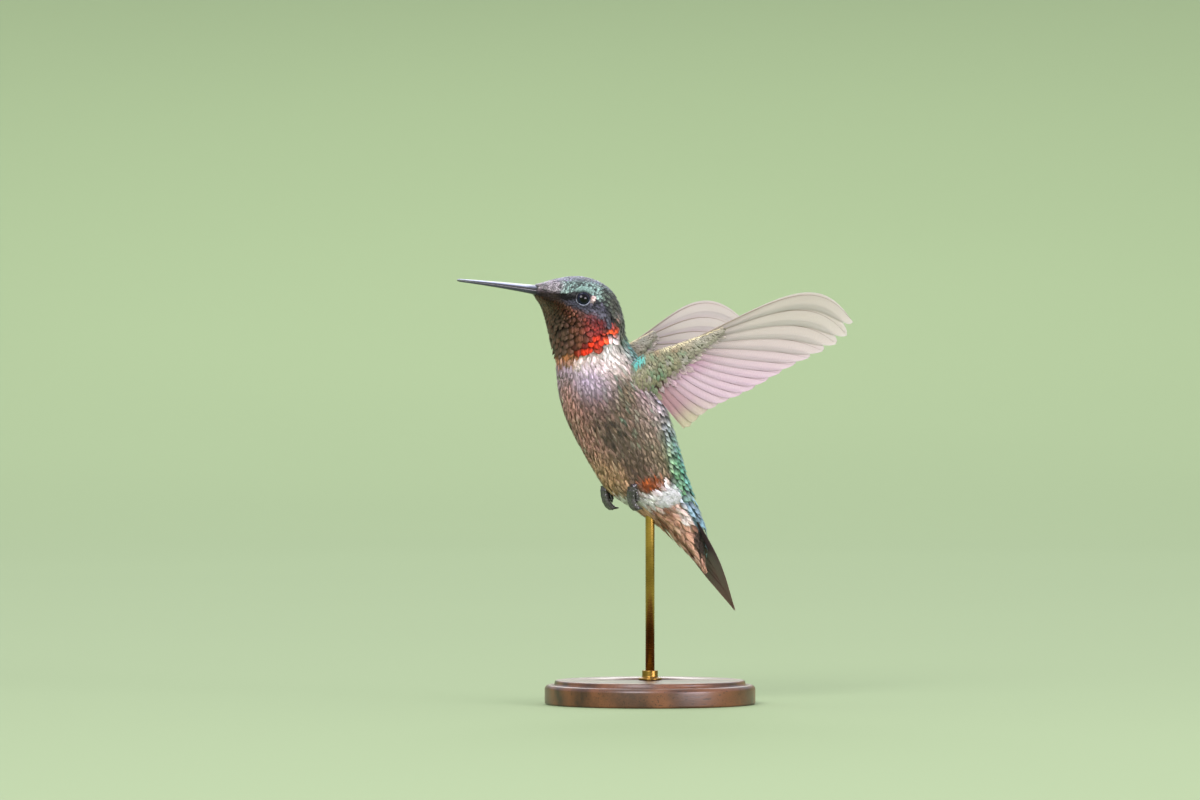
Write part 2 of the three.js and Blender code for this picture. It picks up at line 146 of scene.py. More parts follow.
def turned_about(v: Array, axis: Array, angle: float) -> Array:
    """v turned about a unit axis by an angle in radians."""
    c, s = math.cos(angle), math.sin(angle)
    return v * c + np.cross(axis, v) * s + axis * dot(axis, v) * (1 - c)


# --- meshes


@dataclass
class Shell:
    """A mesh in the making, in millimetres."""

    points: Array  # a row for each vertex
    faces: Array  # three or four vertex numbers. A triangle's last is -1
    colours: Array | None = None  # linear, for each vertex
    local: Array | None = None  # each vertex's place across and along its own feather
    bake: Array | None = None  # each face corner's place on the unwrap, four for each face
    rim: Array | None = None  # True where a feather's two sides meet sharply
    finish: Array | None = None  # the number of each face's material

    def turned(self) -> "Shell":
        """The same shell with its faces turned inside out."""
        triangle = self.faces[:, 3:] < 0
        self.faces = np.where(triangle, self.faces[:, [0, 2, 1, 3]], self.faces[:, ::-1])
        return self


def joined(shells: Sequence[Shell]) -> Shell:
    """One shell of several that hold the same kinds of data."""
    starts = np.cumsum([0] + [len(s.points) for s in shells[:-1]])
    faces = [np.where(s.faces < 0, -1, s.faces + start) for s, start in zip(shells, starts)]
    parts = {"points": [s.points for s in shells], "faces": faces}
    for name in ("colours", "local", "bake", "rim", "finish"):
        if getattr(shells[0], name) is not None:
            parts[name] = [getattr(s, name) for s in shells]
    return Shell(**{name: np.concatenate(rows) for name, rows in parts.items()})


def in_scene(name: str, data: bpy.types.ID) -> bpy.types.Object:
    """A new object in the scene, made of the given data."""
    made = bpy.data.objects.new(name, data)
    bpy.context.scene.collection.objects.link(made)
    return made


def add_paint(mesh: bpy.types.Mesh, colours: Array) -> None:
    """Gives a mesh the colours that its finish reads, one for each vertex."""
    layer = mesh.color_attributes.new(name=PAINT, type="FLOAT_COLOR", domain="POINT")
    layer.data.foreach_set("color", np.c_[colours, np.ones(len(colours))].astype(np.float32).ravel())


def add_map(mesh: bpy.types.Mesh, name: str, places: Array) -> None:
    """Gives a mesh a UV map, one place for each face corner."""
    mesh.uv_layers.new(name=name).uv.foreach_set("vector", places.astype(np.float32).ravel())


def make_object(name: str, shell: Shell, materials: Sequence[Material]) -> bpy.types.Object:
    """A smooth-shaded object of a shell.

    Args:
        name: the object's name.
        shell: its mesh, in millimetres.
        materials: its materials, in the order of their numbers in the shell.

    Returns:
        The object, in the scene.
    """
    mesh = bpy.data.meshes.new(name)
    corners = shell.faces >= 0
    sizes = corners.sum(1)
    loops = shell.faces[corners]
    mesh.vertices.add(len(shell.points))
    mesh.vertices.foreach_set("co", (shell.points * MM).astype(np.float32).ravel())
    mesh.loops.add(len(loops))
    mesh.loops.foreach_set("vertex_index", loops.astype(np.int32))
    mesh.polygons.add(len(sizes))
    mesh.polygons.foreach_set("loop_start", np.concatenate([[0], np.cumsum(sizes)[:-1]]).astype(np.int32))
    if shell.finish is not None:
        mesh.polygons.foreach_set("material_index", shell.finish.astype(np.int32))
    mesh.update(calc_edges=True)
    mesh.polygons.foreach_set("use_smooth", np.ones(len(sizes), bool))
    if shell.colours is not None:
        add_paint(mesh, shell.colours)
    if shell.bake is not None:
        add_map(mesh, BAKE_MAP, shell.bake[corners])
    if shell.local is not None:
        add_map(mesh, VANE_MAP, shell.local[loops])
    if shell.rim is not None:
        ends = np.zeros(2 * len(mesh.edges), np.int32)
        mesh.edges.foreach_get("vertices", ends)
        sharp = mesh.attributes.new("sharp_edge", "BOOLEAN", "EDGE")
        sharp.data.foreach_set("value", shell.rim[ends.reshape(-1, 2)].all(1))
    for material in materials:
        mesh.materials.append(material)
    return in_scene(name, mesh)


def settle(piece: bpy.types.Object, slot: str, *nodes: str) -> None:
    """Rides a finished piece on the model and hides the nodes it stands for."""
    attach(piece, ROOT)
    if nodes:
        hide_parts(*nodes)
    piece.data.update()
    LOG.info("%s: %d faces", piece.name, len(piece.data.polygons))


def add_piece(name: str, shell: Shell, materials: list[Material], slot: str, *nodes: str) -> None:
    """Makes a piece of a shell and settles it."""
    settle(make_object(name, shell, materials), slot, *nodes)


def tube(path: Array, radii: Array, sides: int, flat: float = 1.0, up: Array | None = None) -> Shell:
    """A closed tube along a path.

    Args:
        path: its middle line, one row for each ring.
        radii: the radius of each ring.
        sides: corners round a ring.
        flat: how high a ring is for its width.
        up: the direction that counts as height, or None for +Z.

    Returns:
        The tube, its ends closed by fans.
    """
    up = np.array([0.0, 0.0, 1.0]) if up is None else up
    ahead = unit(np.gradient(path, axis=0))
    aside = unit(np.cross(ahead, up))
    over = np.cross(aside, ahead)
    turn = circle(sides)[:, None]
    ring = aside[:, None] * np.cos(turn) + flat * over[:, None] * np.sin(turn)
    return closed(path[:, None] + radii[:, None, None] * ring, path[0], path[-1])


def walls(rings: int, sides: int) -> Array:
    """The faces between closed rings of vertices."""
    i, j = np.meshgrid(np.arange(rings - 1), np.arange(sides), indexing="ij")
    a, b = i * sides + j, i * sides + (j + 1) % sides
    return np.stack([a, a + sides, b + sides, b], -1).reshape(-1, 4)


def end_fan(middle: int, first: int, sides: int) -> Array:
    """Triangles between a vertex and a ring of vertices."""
    j = np.arange(sides)
    return np.stack([np.full(sides, middle), first + j, first + (j + 1) % sides, np.full(sides, -1)], 1)


def closed(grid: Array, first: Array | None = None, last: Array | None = None) -> Shell:
    """A closed shell of equal rings of points, with a point in the middle of each end.

    Args:
        grid: the points, by ring and by place round it.
        first: the point in the first ring, or None for its middle.
        last: the point in the last ring, or None for its middle.

    Returns:
        The shell.
    """
    rings, sides = grid.shape[:2]
    count = rings * sides
    ends = [grid[0].mean(0) if first is None else first, grid[-1].mean(0) if last is None else last]
    far_end = end_fan(count + 1, count - sides, sides)[:, [0, 2, 1, 3]]
    faces = np.concatenate([walls(rings, sides), end_fan(count, 0, sides), far_end])
    return Shell(np.concatenate([grid.reshape(-1, 3), ends]), faces)


def lathe(profile: Stops, sides: int) -> Shell:
    """A solid turned about +Z, from (radius, height) points that start and end on the axis."""
    points = turned_rows(*np.array(profile[1:-1]).T, sides)
    ends = np.array([[0, 0, profile[0][1]], [0, 0, profile[-1][1]]], float)
    return closed(points, *ends).turned()


def turned_rows(radii: Array, heights: Array, sides: int) -> Array:
    """Rings of points about +Z, by ring and by place round it."""
    turn = circle(sides)
    level = np.repeat(heights[:, None], sides, 1)
    return np.stack([np.outer(radii, np.cos(turn)), np.outer(radii, np.sin(turn)), level], -1)


# --- surfaces that feathers lie on


class Surface:
    """A surface with two coordinates. The first runs the way that the feathers point."""

    step = 1e-3
    facing = 1.0

    def point(self, a: Array, b: Array) -> Array:
        """The points at coordinates a and b."""
        raise NotImplementedError

    def frame(self, a: Array, b: Array) -> tuple[Array, Array, Array, Array]:
        """The points, how they move with a and with b, and the normals that face out."""
        h = self.step
        by_a = (self.point(a + h, b) - self.point(a - h, b)) / (2 * h)
        by_b = (self.point(a, b + h) - self.point(a, b - h)) / (2 * h)
        return self.point(a, b), by_a, by_b, self.facing * unit(np.cross(by_a, by_b))


class Body(Surface):
    """The outside of the coat, as rings along the body.

    Each ring has its lowest point (belly side), its highest point (back side) and its half width.
    """

    facing = -1.0
    squareness = 2.15
    RINGS = np.array([
        [-23.5, 71.75, -23.5, 73.3, 0.95],  # foot of the bill
        [-22.2, 70.7, -21.4, 73.75, 2.3],  # lores
        [-20.4, 68.9, -18.2, 74.5, 4.4],  # face
        [-19.6, 66.9, -14.7, 74.85, 5.6],  # eyes
        [-19.1, 64.9, -11.3, 74.1, 6.1],  # crown
        [-18.6, 62.7, -8.4, 72.1, 6.2],  # back of the crown
        [-18.1, 60.2, -6.6, 68.4, 6],  # nape
        [-17.8, 57.4, -5.9, 64.5, 6.1],  # collar
        [-17.1, 53.8, -3, 60.2, 7.2],  # shoulders
        [-15.6, 49.8, 0.2, 55.2, 8],  # breast
        [-13.3, 45.7, 2.9, 49.6, 7.9],  # upper belly
        [-10.6, 41.4, 5.1, 43.8, 7.2],  # lower belly
        [-7.7, 37.4, 7.1, 38.6, 6.2],  # legs
        [-2.7, 34.2, 9.2, 34.3, 4.9],  # vent
        [2.4, 30.9, 10.9, 30.8, 3.4],  # root of the tail
        [6.6, 27.3, 11.4, 27.8, 1.9],  # ends of the uppertail coverts
        [9.7, 24.5, 11.5, 25.2, 1],  # undertail coverts
        [11.2, 22.7, 11.7, 23.1, 0.35],  # their ends
    ])
    last = len(RINGS) - 1

    def point(self, a: Array, b: Array) -> Array:
        """The points at stations a and turns b, in radians."""
        ring = through(self.RINGS, a / self.last)
        belly, back = ring[..., 0:2], ring[..., 2:4]
        across = back - belly
        deep = np.linalg.norm(across, axis=-1) / 2
        up = unit(across)
        round_off = lambda v: np.sign(v) * np.abs(v) ** (2 / self.squareness)
        rise = (deep * round_off(np.cos(b)))[..., None] * up
        middle = (belly + back) / 2 + rise
        aside = -ring[..., 4] * round_off(np.sin(b))
        return np.stack([middle[..., 0], aside, middle[..., 1]], -1)


class Thigh(Surface):
    """The feathered thigh: an egg whose feathers point down and back."""

    facing = -1.0
    at = np.array([1.1, 4.1, 37.0])
    size = np.array([2.7, 1.9, 2.3])
    lean = math.radians(38)  # how far back the feathers point from straight down

    def __init__(self, side: int) -> None:
        """The thigh on one side of the bird."""
        self.side = side
        self.middle = self.at * [1, side, 1]

    def point(self, a: Array, b: Array) -> Array:
        """The points at a from 0, the top, to pi, the hem, and at the turn b."""
        down = np.array([math.sin(self.lean), 0, -math.cos(self.lean)])
        fore = np.array([math.cos(self.lean), 0, math.sin(self.lean)])
        ring = np.cos(b)[..., None] * fore - np.sin(b)[..., None] * ACROSS
        way = -np.cos(a)[..., None] * down + np.sin(a)[..., None] * ring
        return self.middle + way * self.size


# --- feather shapes


def quads(grid: Array) -> Array:
    """The faces between neighbouring vertices of a grid of vertex numbers."""
    return np.stack([grid[:-1, :-1], grid[:-1, 1:], grid[1:, 1:], grid[1:, :-1]], -1).reshape(-1, 4)


def two_sides(rows: int, columns: int) -> tuple[Array, Array]:
    """The faces of a thin sheet's two sides, which share their rim, and True on the rim."""
    rim = np.zeros((rows + 1, columns + 1), bool)
    rim[[0, -1], :] = rim[:, [0, -1]] = True
    top = np.arange(rim.size).reshape(rim.shape)
    under = top.copy()
    under[~rim] = rim.size + np.arange((~rim).sum())
    return np.concatenate([quads(top), quads(under)[:, ::-1]]), rim


@dataclass(frozen=True)
class Leaf:
    """One feather's shape on a scale of 1: a closed mesh of leaf or barbs."""

    across: Array  # from -1 to 1
    along: Array  # from 0 to 1
    up: Array  # -1 below and 1 above
    faces: Array  # as in Shell
    rim: Array  # True where the two sides meet
    strand: Array  # the barb or column of each vertex


@dataclass(frozen=True)
class Vane:
    """One kind of contour feather: a thin closed leaf."""

    rows: int = 5
    columns: int = 4
    widest: float = 0.6  # share of its length where it is widest
    foot: float = 0.4  # width at the root, as a share of the widest
    tip: float = 0.45  # width at the end
    rounding: float = 0.22  # how far the corners of its end are drawn back
    teeth: float = 0.06  # depth of the notches between its barbs
    arch: float = 0.22  # height of its middle, as a share of its half width

    def leaf(self) -> Leaf:
        """The leaf on a scale of 1."""
        rows, columns = self.rows, self.columns
        v = 1 - np.linspace(1, 0, rows + 1)[:, None] ** 1.35
        u = np.linspace(-1, 1, columns + 1)[None]
        swell = self.foot + (1 - self.foot) * np.sin(np.pi / 2 * np.clip(v / self.widest, 0, 1))
        past = np.clip((v - self.widest) / (1 - self.widest), 0, 1)
        half = swell * (self.tip + (1 - self.tip) * np.sqrt(1 - past**2))
        notched = np.arange(columns + 1)[None] % 2 == 1
        along = v * (1 - self.rounding * u**2 * v) * (1 - self.teeth * notched * v**3)
        across = u * half + 0 * along
        faces, rim = two_sides(rows, columns)
        pair = lambda g: np.concatenate([g.ravel(), g[~rim]])
        up = np.concatenate([np.where(rim, 0.0, 1.0).ravel(), np.full((~rim).sum(), -1.0)])
        strand = np.tile(np.arange(columns + 1), (rows + 1, 1))
        return Leaf(pair(across), pair(along), up, faces, pair(rim), pair(strand))


@dataclass(frozen=True)
class Lock:
    """A loose tuft: thin separate barbs that fan out from one root."""

    barbs: int = 5
    fan: float = 1.0  # spread of the outer barbs, as a share of the half width
    width: float = 0.16  # a barb's half width at its root, as a share of the tuft's
    rows: int = 3
    arch: float = 0.15  # as in Vane

    def leaf(self) -> Leaf:
        """The tuft on a scale of 1."""
        parts = []
        for k in range(self.barbs):
            way = 2 * k / (self.barbs - 1) - 1
            reach = 1 - 0.22 * way * way - 0.14 * (k % 2)
            t = np.linspace(0, 1, self.rows + 1)[:-1, None]
            corner = np.array([[-1.0, 1.0, 0.0]])
            across = way * self.fan * (0.2 + 0.8 * t**1.3) + corner * self.width * (1 - 0.6 * t)
            first = k * (3 * self.rows + 1)
            tip = first + 3 * self.rows
            faces = []
            for i in range(first, tip - 3, 3):
                faces += [[i + j, i + (j + 1) % 3, i + (j + 1) % 3 + 3, i + j + 3] for j in range(3)]
            faces += [[tip - 3 + j, tip - 3 + (j + 1) % 3, tip, -1] for j in range(3)]
            faces.append([first, first + 2, first + 1, -1])
            along = np.append((t * reach + 0 * corner).ravel(), reach)
            up = np.append((np.array([[-1.0, -1.0, 1.0]]) + 0 * t).ravel(), 0.0)
            parts.append((np.append(across.ravel(), way * self.fan), along, up, faces, np.full(len(up), k)))
        across, along, up, faces, strand = (np.concatenate([p[i] for p in parts]) for i in range(5))
        return Leaf(across, along, up, faces, np.zeros(len(up), bool), strand)


IN_SIGHT = 0.68  # share of a feather's length, to the middle of what stays in sight


@dataclass
class Roots:
    """Where the feathers of one tract grow, and how large each one is."""

    a: Array
    b: Array
    heading: Array  # turn from the way the coat lies, in radians
    length: Array
    width: Array
    rise: Array  # how high the tip stands above the surface

    def only(self, keep: Array) -> "Roots":
        """The roots that keep picks out."""
        return Roots(*(getattr(self, n)[keep] for n in ("a", "b", "heading", "length", "width", "rise")))

    def ways(self, surface: Surface) -> tuple[Array, Array, Array, Array]:
        """How the surface runs with a and b at each root, and the ways along and across a feather."""
        _, by_a, by_b, normal = surface.frame(self.a, self.b)
        ahead = unit(by_a)
        way = np.cos(self.heading)[:, None] * ahead + np.sin(self.heading)[:, None] * np.cross(normal, ahead)
        return by_a, by_b, way, np.cross(normal, way)

    def shown(self, surface: Surface) -> tuple[Array, Array]:
        """The coordinates under the part of each feather that stays in sight."""
        by_a, by_b, way, _ = self.ways(surface)
        da, db = change(by_a, by_b, way * (self.length * IN_SIGHT)[:, None])
        return self.a + da, self.b + db


def change(by_a: Array, by_b: Array, move: Array) -> tuple[Array, Array]:
    """How far a surface's two coordinates change for a small move along it."""
    e, f, g = dot(by_a, by_a), dot(by_a, by_b), dot(by_b, by_b)
    det = np.maximum(e * g - f * f, 1e-6)
    move_a, move_b = dot(move, by_a), dot(move, by_b)
    return (g * move_a - f * move_b) / det, (e * move_b - f * move_a) / det


def lay(surface: Surface, roots: Roots, shape: Vane | Lock, depth: float, thickness: float) -> Laid:
    """Lays feathers on a surface, each bent to follow it.

    Args:
        surface: what they grow from.
        roots: where, and how large.
        shape: one feather's shape.
        depth: how far below the surface the roots are.
        thickness: half a feather's thickness.

    Returns:
        Every vertex and its places, in millimetres.
    """
    leaf = shape.leaf()
    across, along = leaf.across[None], leaf.along[None]
    by_a, by_b, way, aside = roots.ways(surface)
    half = roots.width[:, None] / 2
    x, y = across * half, along * roots.length[:, None]
    move = way[:, None] * y[..., None] + aside[:, None] * x[..., None]
    da, db = change(by_a[:, None], by_b[:, None], move)
    points, _, _, out = surface.frame(roots.a[:, None] + da, roots.b[:, None] + db)
    height = -depth + (depth + roots.rise[:, None]) * along**0.8
    height = height + shape.arch * half * (1 - across**2) * along**0.5 + leaf.up[None] * thickness
    return points + out * height[..., None], x, y


BAKE_PATCH = 0.003  # the size of one feather's patch on the unwrap


def feathers(laid: Laid, leaf: Leaf, colours: Array, places: Array, rng: Random) -> Shell:
    """The shell of laid feathers.

    Args:
        laid: what lay() gives.
        leaf: one feather's shape.
        colours: each vertex's colour.
        places: each root's place on the unwrap.
        rng: shifts each feather's barbs, so that no two match.

    Returns:
        One shell, with a patch of the unwrap for each feather.
    """
    points, x, y = laid
    count, each = points.shape[:2]
    numbers = leaf.faces[None] + np.arange(count)[:, None, None] * each
    numbers = np.where(leaf.faces[None] < 0, -1, numbers).reshape(-1, 4)
    spot = np.stack([leaf.across / 2, leaf.along - 0.5], -1) * BAKE_PATCH
    bake = (places[:, None] + spot[None]).reshape(-1, 2)
    local = np.stack([x, y + rng.uniform(0, 40, (count, 1))], -1).reshape(-1, 2)
    corners = bake[np.maximum(numbers, 0)]
    finish = np.zeros(len(numbers), int)
    rim = np.tile(leaf.rim, count)
    return Shell(points.reshape(-1, 3), numbers, colours.reshape(-1, 3), local, corners, rim, finish)


def scatter(points: Array, spacing: Array, rng: Random) -> Array:
    """Picks points so that none lies closer to another than its spacing.

    Args:
        points: the places to pick from.
        spacing: the least distance for each.
        rng: gives the order in which they are tried.

    Returns:
        The numbers of those picked.
    """
    cell = float(spacing.max())
    cells = np.floor(points / cell).astype(int)
    grid: dict[tuple[int, int, int], list[int]] = {}
    near = [(i, j, k) for i in (-1, 0, 1) for j in (-1, 0, 1) for k in (-1, 0, 1)]
    picked = []
    for n in rng.permutation(len(points)):
        x, y, z = cells[n]
        p, gap = points[n], spacing[n] ** 2
        close = [m for i, j, k in near for m in grid.get((x + i, y + j, z + k), ())]
        if close and (((points[close] - p) ** 2).sum(1) < gap).any():
            continue
        grid.setdefault((x, y, z), []).append(n)
        picked.append(n)
    return np.array(picked)


def chosen_roots(
    surface: Surface,
    at: tuple[Array, Array],
    length: Array,
    top: float,
    spread: float,
    rng: Random,
    allowed: Array | bool = True,
) -> Array:
    """Picks evenly spread roots out of random ones, closer together where feathers are shorter.

    Args:
        surface: what they grow from.
        at: the coordinates of the random ones.
        length: how long a feather is at each.
        top: the quantile of crowding above which all are tried.
        spread: the least distance between roots, as a share of a feather's length.
        rng: gives the random draws.
        allowed: where roots may be.

    Returns:
        The numbers of those picked.
    """
    points, by_a, by_b, _ = surface.frame(*at)
    weight = np.linalg.norm(np.cross(by_a, by_b), axis=-1) / length**2
    keep = np.flatnonzero((rng.random(len(weight)) < weight / np.quantile(weight, top)) & allowed)
    return keep[scatter(points[keep], length[keep] * spread, rng)]


# --- finishes


class Shader:
    """A material's nodes, with its Principled node ready to be driven."""

    def __init__(self, name: str, **constants: float | tuple) -> None:
        """A new material. Constants go straight onto the Principled node's sockets, by name."""
        self.material = bpy.data.materials.new(name)
        self.material.use_nodes = True
        self.tree = self.material.node_tree
        self.surface = self.tree.nodes["Principled BSDF"]
        for key, value in constants.items():
            self.surface.inputs[key.replace("_", " ")].default_value = value

    def node(self, kind: str, values: dict[str, object] | None = None, **settings: object) -> bpy.types.Node:
        """A new node with its settings, and its inputs as plain values or links."""
        made = self.tree.nodes.new("ShaderNode" + kind)
        for key, value in settings.items():
            setattr(made, key, value)
        for key, value in (values or {}).items():
            self.put(made.inputs[key], value)
        return made

    def put(self, socket: Socket, value: object) -> None:
        """Sets a socket, or links it where the value is another node's output."""
        if isinstance(value, Socket):
            self.tree.links.new(value, socket)
        else:
            socket.default_value = value

    def maths(self, operation: str, *values: object) -> Socket:
        """The result of a Math node."""
        made = self.node("Math", operation=operation)
        for socket, value in zip(made.inputs, values):
            self.put(socket, value)
        return made.outputs[0]

    def times(self, a: object, b: object) -> Socket:
        """The product of two numbers."""
        return self.maths("MULTIPLY", a, b)

    def scaled(self, value: Socket, by: float, plus: float) -> Socket:
        """A number scaled, with another added."""
        return self.maths("MULTIPLY_ADD", value, by, plus)

    def blend(self, share: object, a: object, b: object, how: str = "MIX") -> Socket:
        """The result of mixing two colours."""
        return self.node("MixRGB", {"Fac": share, "Color1": a, "Color2": b}, blend_type=how).outputs[0]

    def ramp(self, value: Socket, stops: Sequence[tuple[float, Colour]]) -> Socket:
        """Colours along a value from 0 to 1."""
        made = self.node("ValToRGB", {"Fac": value})
        ramp = made.color_ramp
        while len(ramp.elements) < len(stops):
            ramp.elements.new(0.5)
        for element, (place, colour) in zip(ramp.elements, stops):
            element.position = place
            element.color = (*colour, 1)
        return made.outputs[0]

    def paint(self) -> Socket:
        """The colours painted on the mesh."""
        return self.node("Attribute", attribute_name=PAINT).outputs["Color"]

    def grey(self, value: Socket) -> Socket:
        """The grey of a brightness."""
        return self.node("CombineXYZ", {"X": value, "Y": value, "Z": value}).outputs[0]

    def place(self) -> Socket:
        """The place in the model."""
        return self.node("TexCoord").outputs["Object"]

    def stretched(self, *scale: float) -> Socket:
        """The place in the model, scaled along each axis."""
        return self.node("Mapping", {"Vector": self.place(), "Scale": scale}).outputs[0]

    def noise(self, scale: float, detail: float = 3, at: Socket | None = None, rough: float = 0.5) -> Socket:
        """Noise from 0 to 1, by place in the model or at a given vector."""
        where = self.place() if at is None else at
        values = {"Vector": where, "Scale": scale, "Detail": detail, "Roughness": rough}
        return self.node("TexNoise", values).outputs["Fac"]

    def done(self, **driven: object) -> Material:
        """Links the driven sockets by name and gives the material."""
        for key, value in driven.items():
            self.put(self.surface.inputs[key.replace("_", " ")], value)
        return self.material

    def grained(self, colour: Socket, rough: Socket, height: Socket, push: float, depth: float) -> Material:
        """The material with its colour, roughness and relief. The depth is in millimetres."""
        values = {"Height": height, "Strength": push, "Distance": depth * MM}
        normal = self.node("Bump", values).outputs[0]
        return self.done(Base_Color=colour, Roughness=rough, Normal=normal)


@dataclass(frozen=True)
class Plumage:
    """A feathered finish: painted colour, broken up by the barbs of each feather."""

    name: str
    metallic: float = 0.0  # shine in its own colour, for iridescent feathers
    roughness: float = 0.7
    sheen: float = 0.25  # soft edge glow, for loose feathers
    pitch: float = 0.16  # distance between barbs
    contrast: float = 0.35  # how much darker the grooves between barbs are
    relief: float = 0.03  # depth of those grooves
    slant: float = 1.1  # how steeply the barbs run out from the shaft
    glow: float = 0.0  # light that passes through
    gloss: float = 0.5  # strength of its reflections

    def material(self) -> Material:
        """The node material."""
        inner = {"Subsurface_Weight": self.glow, "Subsurface_Radius": (1, 0.75, 0.7)}
        outer = {"Metallic": self.metallic, "Specular_IOR_Level": self.gloss, "Sheen_Weight": self.sheen}
        shader = Shader(self.name, Subsurface_Scale=0.6 * MM, Sheen_Roughness=0.5, **inner, **outer)
        place = shader.node("SeparateXYZ", {"Vector": shader.node("UVMap", uv_map="Vane").outputs[0]})
        across, along = place.outputs[0], place.outputs[1]
        out = shader.times(shader.maths("ABSOLUTE", across), self.slant)
        row = shader.maths("DIVIDE", shader.maths("SUBTRACT", along, out), self.pitch)
        wobble = shader.noise(900, 2)
        row = shader.maths("ADD", row, shader.times(wobble, 1.5))
        wave = shader.maths("SINE", shader.times(row, 2 * math.pi))
        ridge = shader.scaled(wave, 0.5, 0.5)
        streak_at = shader.node("CombineXYZ", {"X": row, "Y": shader.times(across, 0.8)})
        streak = shader.noise(0.9, 2, streak_at.outputs[0])
        groove = shader.times(shader.maths("ADD", ridge, streak), 0.5)
        shade = shader.scaled(groove, 2 * self.contrast, 1 - self.contrast)
        colour = shader.blend(1, shader.paint(), shader.grey(shade), "MULTIPLY")
        rough = shader.scaled(streak, 0.25, self.roughness - 0.12)
        return shader.grained(colour, rough, groove, 0.7, self.relief)


@dataclass(frozen=True)
class Painted:
    """A painted surface with a fine grain: skin, lids and bill."""

    name: str
    tone: float = 1.0  # brightness of its paint
    roughness: float = 0.7
    coat: float = 0.0  # clear gloss
    grain: float = 2500.0  # scale of its grain
    relief: float = 0.05
    contrast: float = 0.3  # how much the grain changes the tone

    def material(self) -> Material:
        """The node material."""
        shader = Shader(self.name, Coat_Weight=self.coat, Coat_Roughness=0.12)
        fine = shader.noise(self.grain)
        low, high = ((self.tone * k,) * 3 + (1,) for k in (1 - self.contrast, 1 + self.contrast))
        colour = shader.blend(1, shader.paint(), shader.blend(fine, low, high), "MULTIPLY")
        rough = shader.scaled(fine, 0.2, self.roughness - 0.1)
        return shader.grained(colour, rough, fine, 0.6, self.relief)


@dataclass(frozen=True)
class Horn:
    """Claws and scaled toes: dark horn, mottled with paler places that are a painted highlight."""

    name: str
    dark: Colour
    light: Colour  # paler places mixed in by the grain: a painted highlight
    roughness: float = 0.28
    grain: float = 1400.0  # scale of its grain
    relief: float = 0.01

    def material(self) -> Material:
        """The node material."""
        shader = Shader(self.name, Specular_IOR_Level=0.35, Coat_Weight=1, Coat_Roughness=0.07)
        grain = shader.noise(self.grain, 4, shader.stretched(0.15, 1, 1))
        blotch = shader.noise(500, 2)
        colour = shader.ramp(shader.times(grain, blotch), [(0.12, self.dark), (0.55, self.light)])
        rough = shader.scaled(grain, 0.22, self.roughness - 0.1)
        return shader.grained(colour, rough, grain, 0.5, self.relief)


@dataclass(frozen=True)
class EyeGloss:
    """The wet surface of the eye, over its painted pupil and iris."""

    name: str = "eye"

    def material(self) -> Material:
        """The node material."""
        shader = Shader(self.name, Roughness=0.04, IOR=1.38, Specular_IOR_Level=0.4)
        fibres = shader.grey(shader.noise(3500, 2))
        return shader.done(Base_Color=shader.blend(0.6, shader.paint(), fibres, "MULTIPLY"))


@dataclass(frozen=True)
class TurnedWood:
    """Oiled dark hardwood, turned across the grain."""

    name: str = "walnut"
    dark: Colour = srgb("2b160b")
    light: Colour = srgb("6b4023")

    def material(self) -> Material:
        """The node material."""
        shader = Shader(self.name, Coat_Weight=0.35, Coat_Roughness=0.22)
        grain = shader.noise(55, 6, shader.stretched(1, 9, 5), 0.6)
        wave = {"Vector": shader.place(), "Scale": 45, "Distortion": 6, "Detail": 3, "Detail Scale": 1.4}
        rings = shader.node("TexWave", wave, bands_direction="Y").outputs["Fac"]
        pores = shader.noise(420, 2, shader.stretched(1, 16, 10))
        share = shader.scaled(rings, 0.35, shader.times(grain, 0.75))
        wood = shader.ramp(share, [(0.25, self.dark), (0.8, self.light)])
        pitted = shader.ramp(pores, [(0.3, (0.25,) * 3), (0.42, (1,) * 3)])
        colour = shader.blend(1, wood, pitted, "MULTIPLY")
        rough = shader.scaled(grain, 0.2, 0.3)
        return shader.grained(colour, rough, pores, 0.35, 0.05)


@dataclass(frozen=True)
class Brass:
    """Satin brass with fine turning marks and a little tarnish."""

    name: str = "brass"
    bright: Colour = srgb("b8914a")
    dull: Colour = srgb("7a5c2c")

    def material(self) -> Material:
        """The node material."""
        shader = Shader(self.name, Metallic=1)
        marks = shader.noise(900, 2, shader.stretched(0.2, 0.2, 6))
        cloud = shader.noise(120, 4)
        colour = shader.ramp(cloud, [(0.35, self.dull), (0.6, self.bright)])
        rough = shader.scaled(marks, 0.2, 0.18)
        return shader.grained(colour, rough, marks, 0.25, 0.01)


@dataclass(frozen=True)
class Backdrop:
    """The plain pale floor that sweeps up into the background."""

    name: str = "backdrop"
    colour: Colour = srgb("91a57b")

    def material(self) -> Material:
        """The node material."""
        shader = Shader(self.name, Roughness=0.9)
        cloud = shader.noise(1.2, 2)
        low, high = (tuple(c * k for c in self.colour) for k in (0.97, 1.03))
        return shader.done(Base_Color=shader.ramp(cloud, [(0.3, low), (0.7, high)]))


# --- markings


class Tract(Enum):
    """The tracts of the coat, each a piece of its own."""

    CROWN = "crown"
    FACE = "face"
    GORGET = "gorget"
    COLLAR = "collar"
    BREAST = "breast"
    BELLY = "belly"
    DOWN = "down"
    BACK = "back"
    RUMP = "rump"
    VENT = "vent"


def turn_off(turn: Array) -> Array:
    """How far turns are from the middle of the back, in degrees, either way round."""
    return np.abs((turn + 180) % 360 - 180)


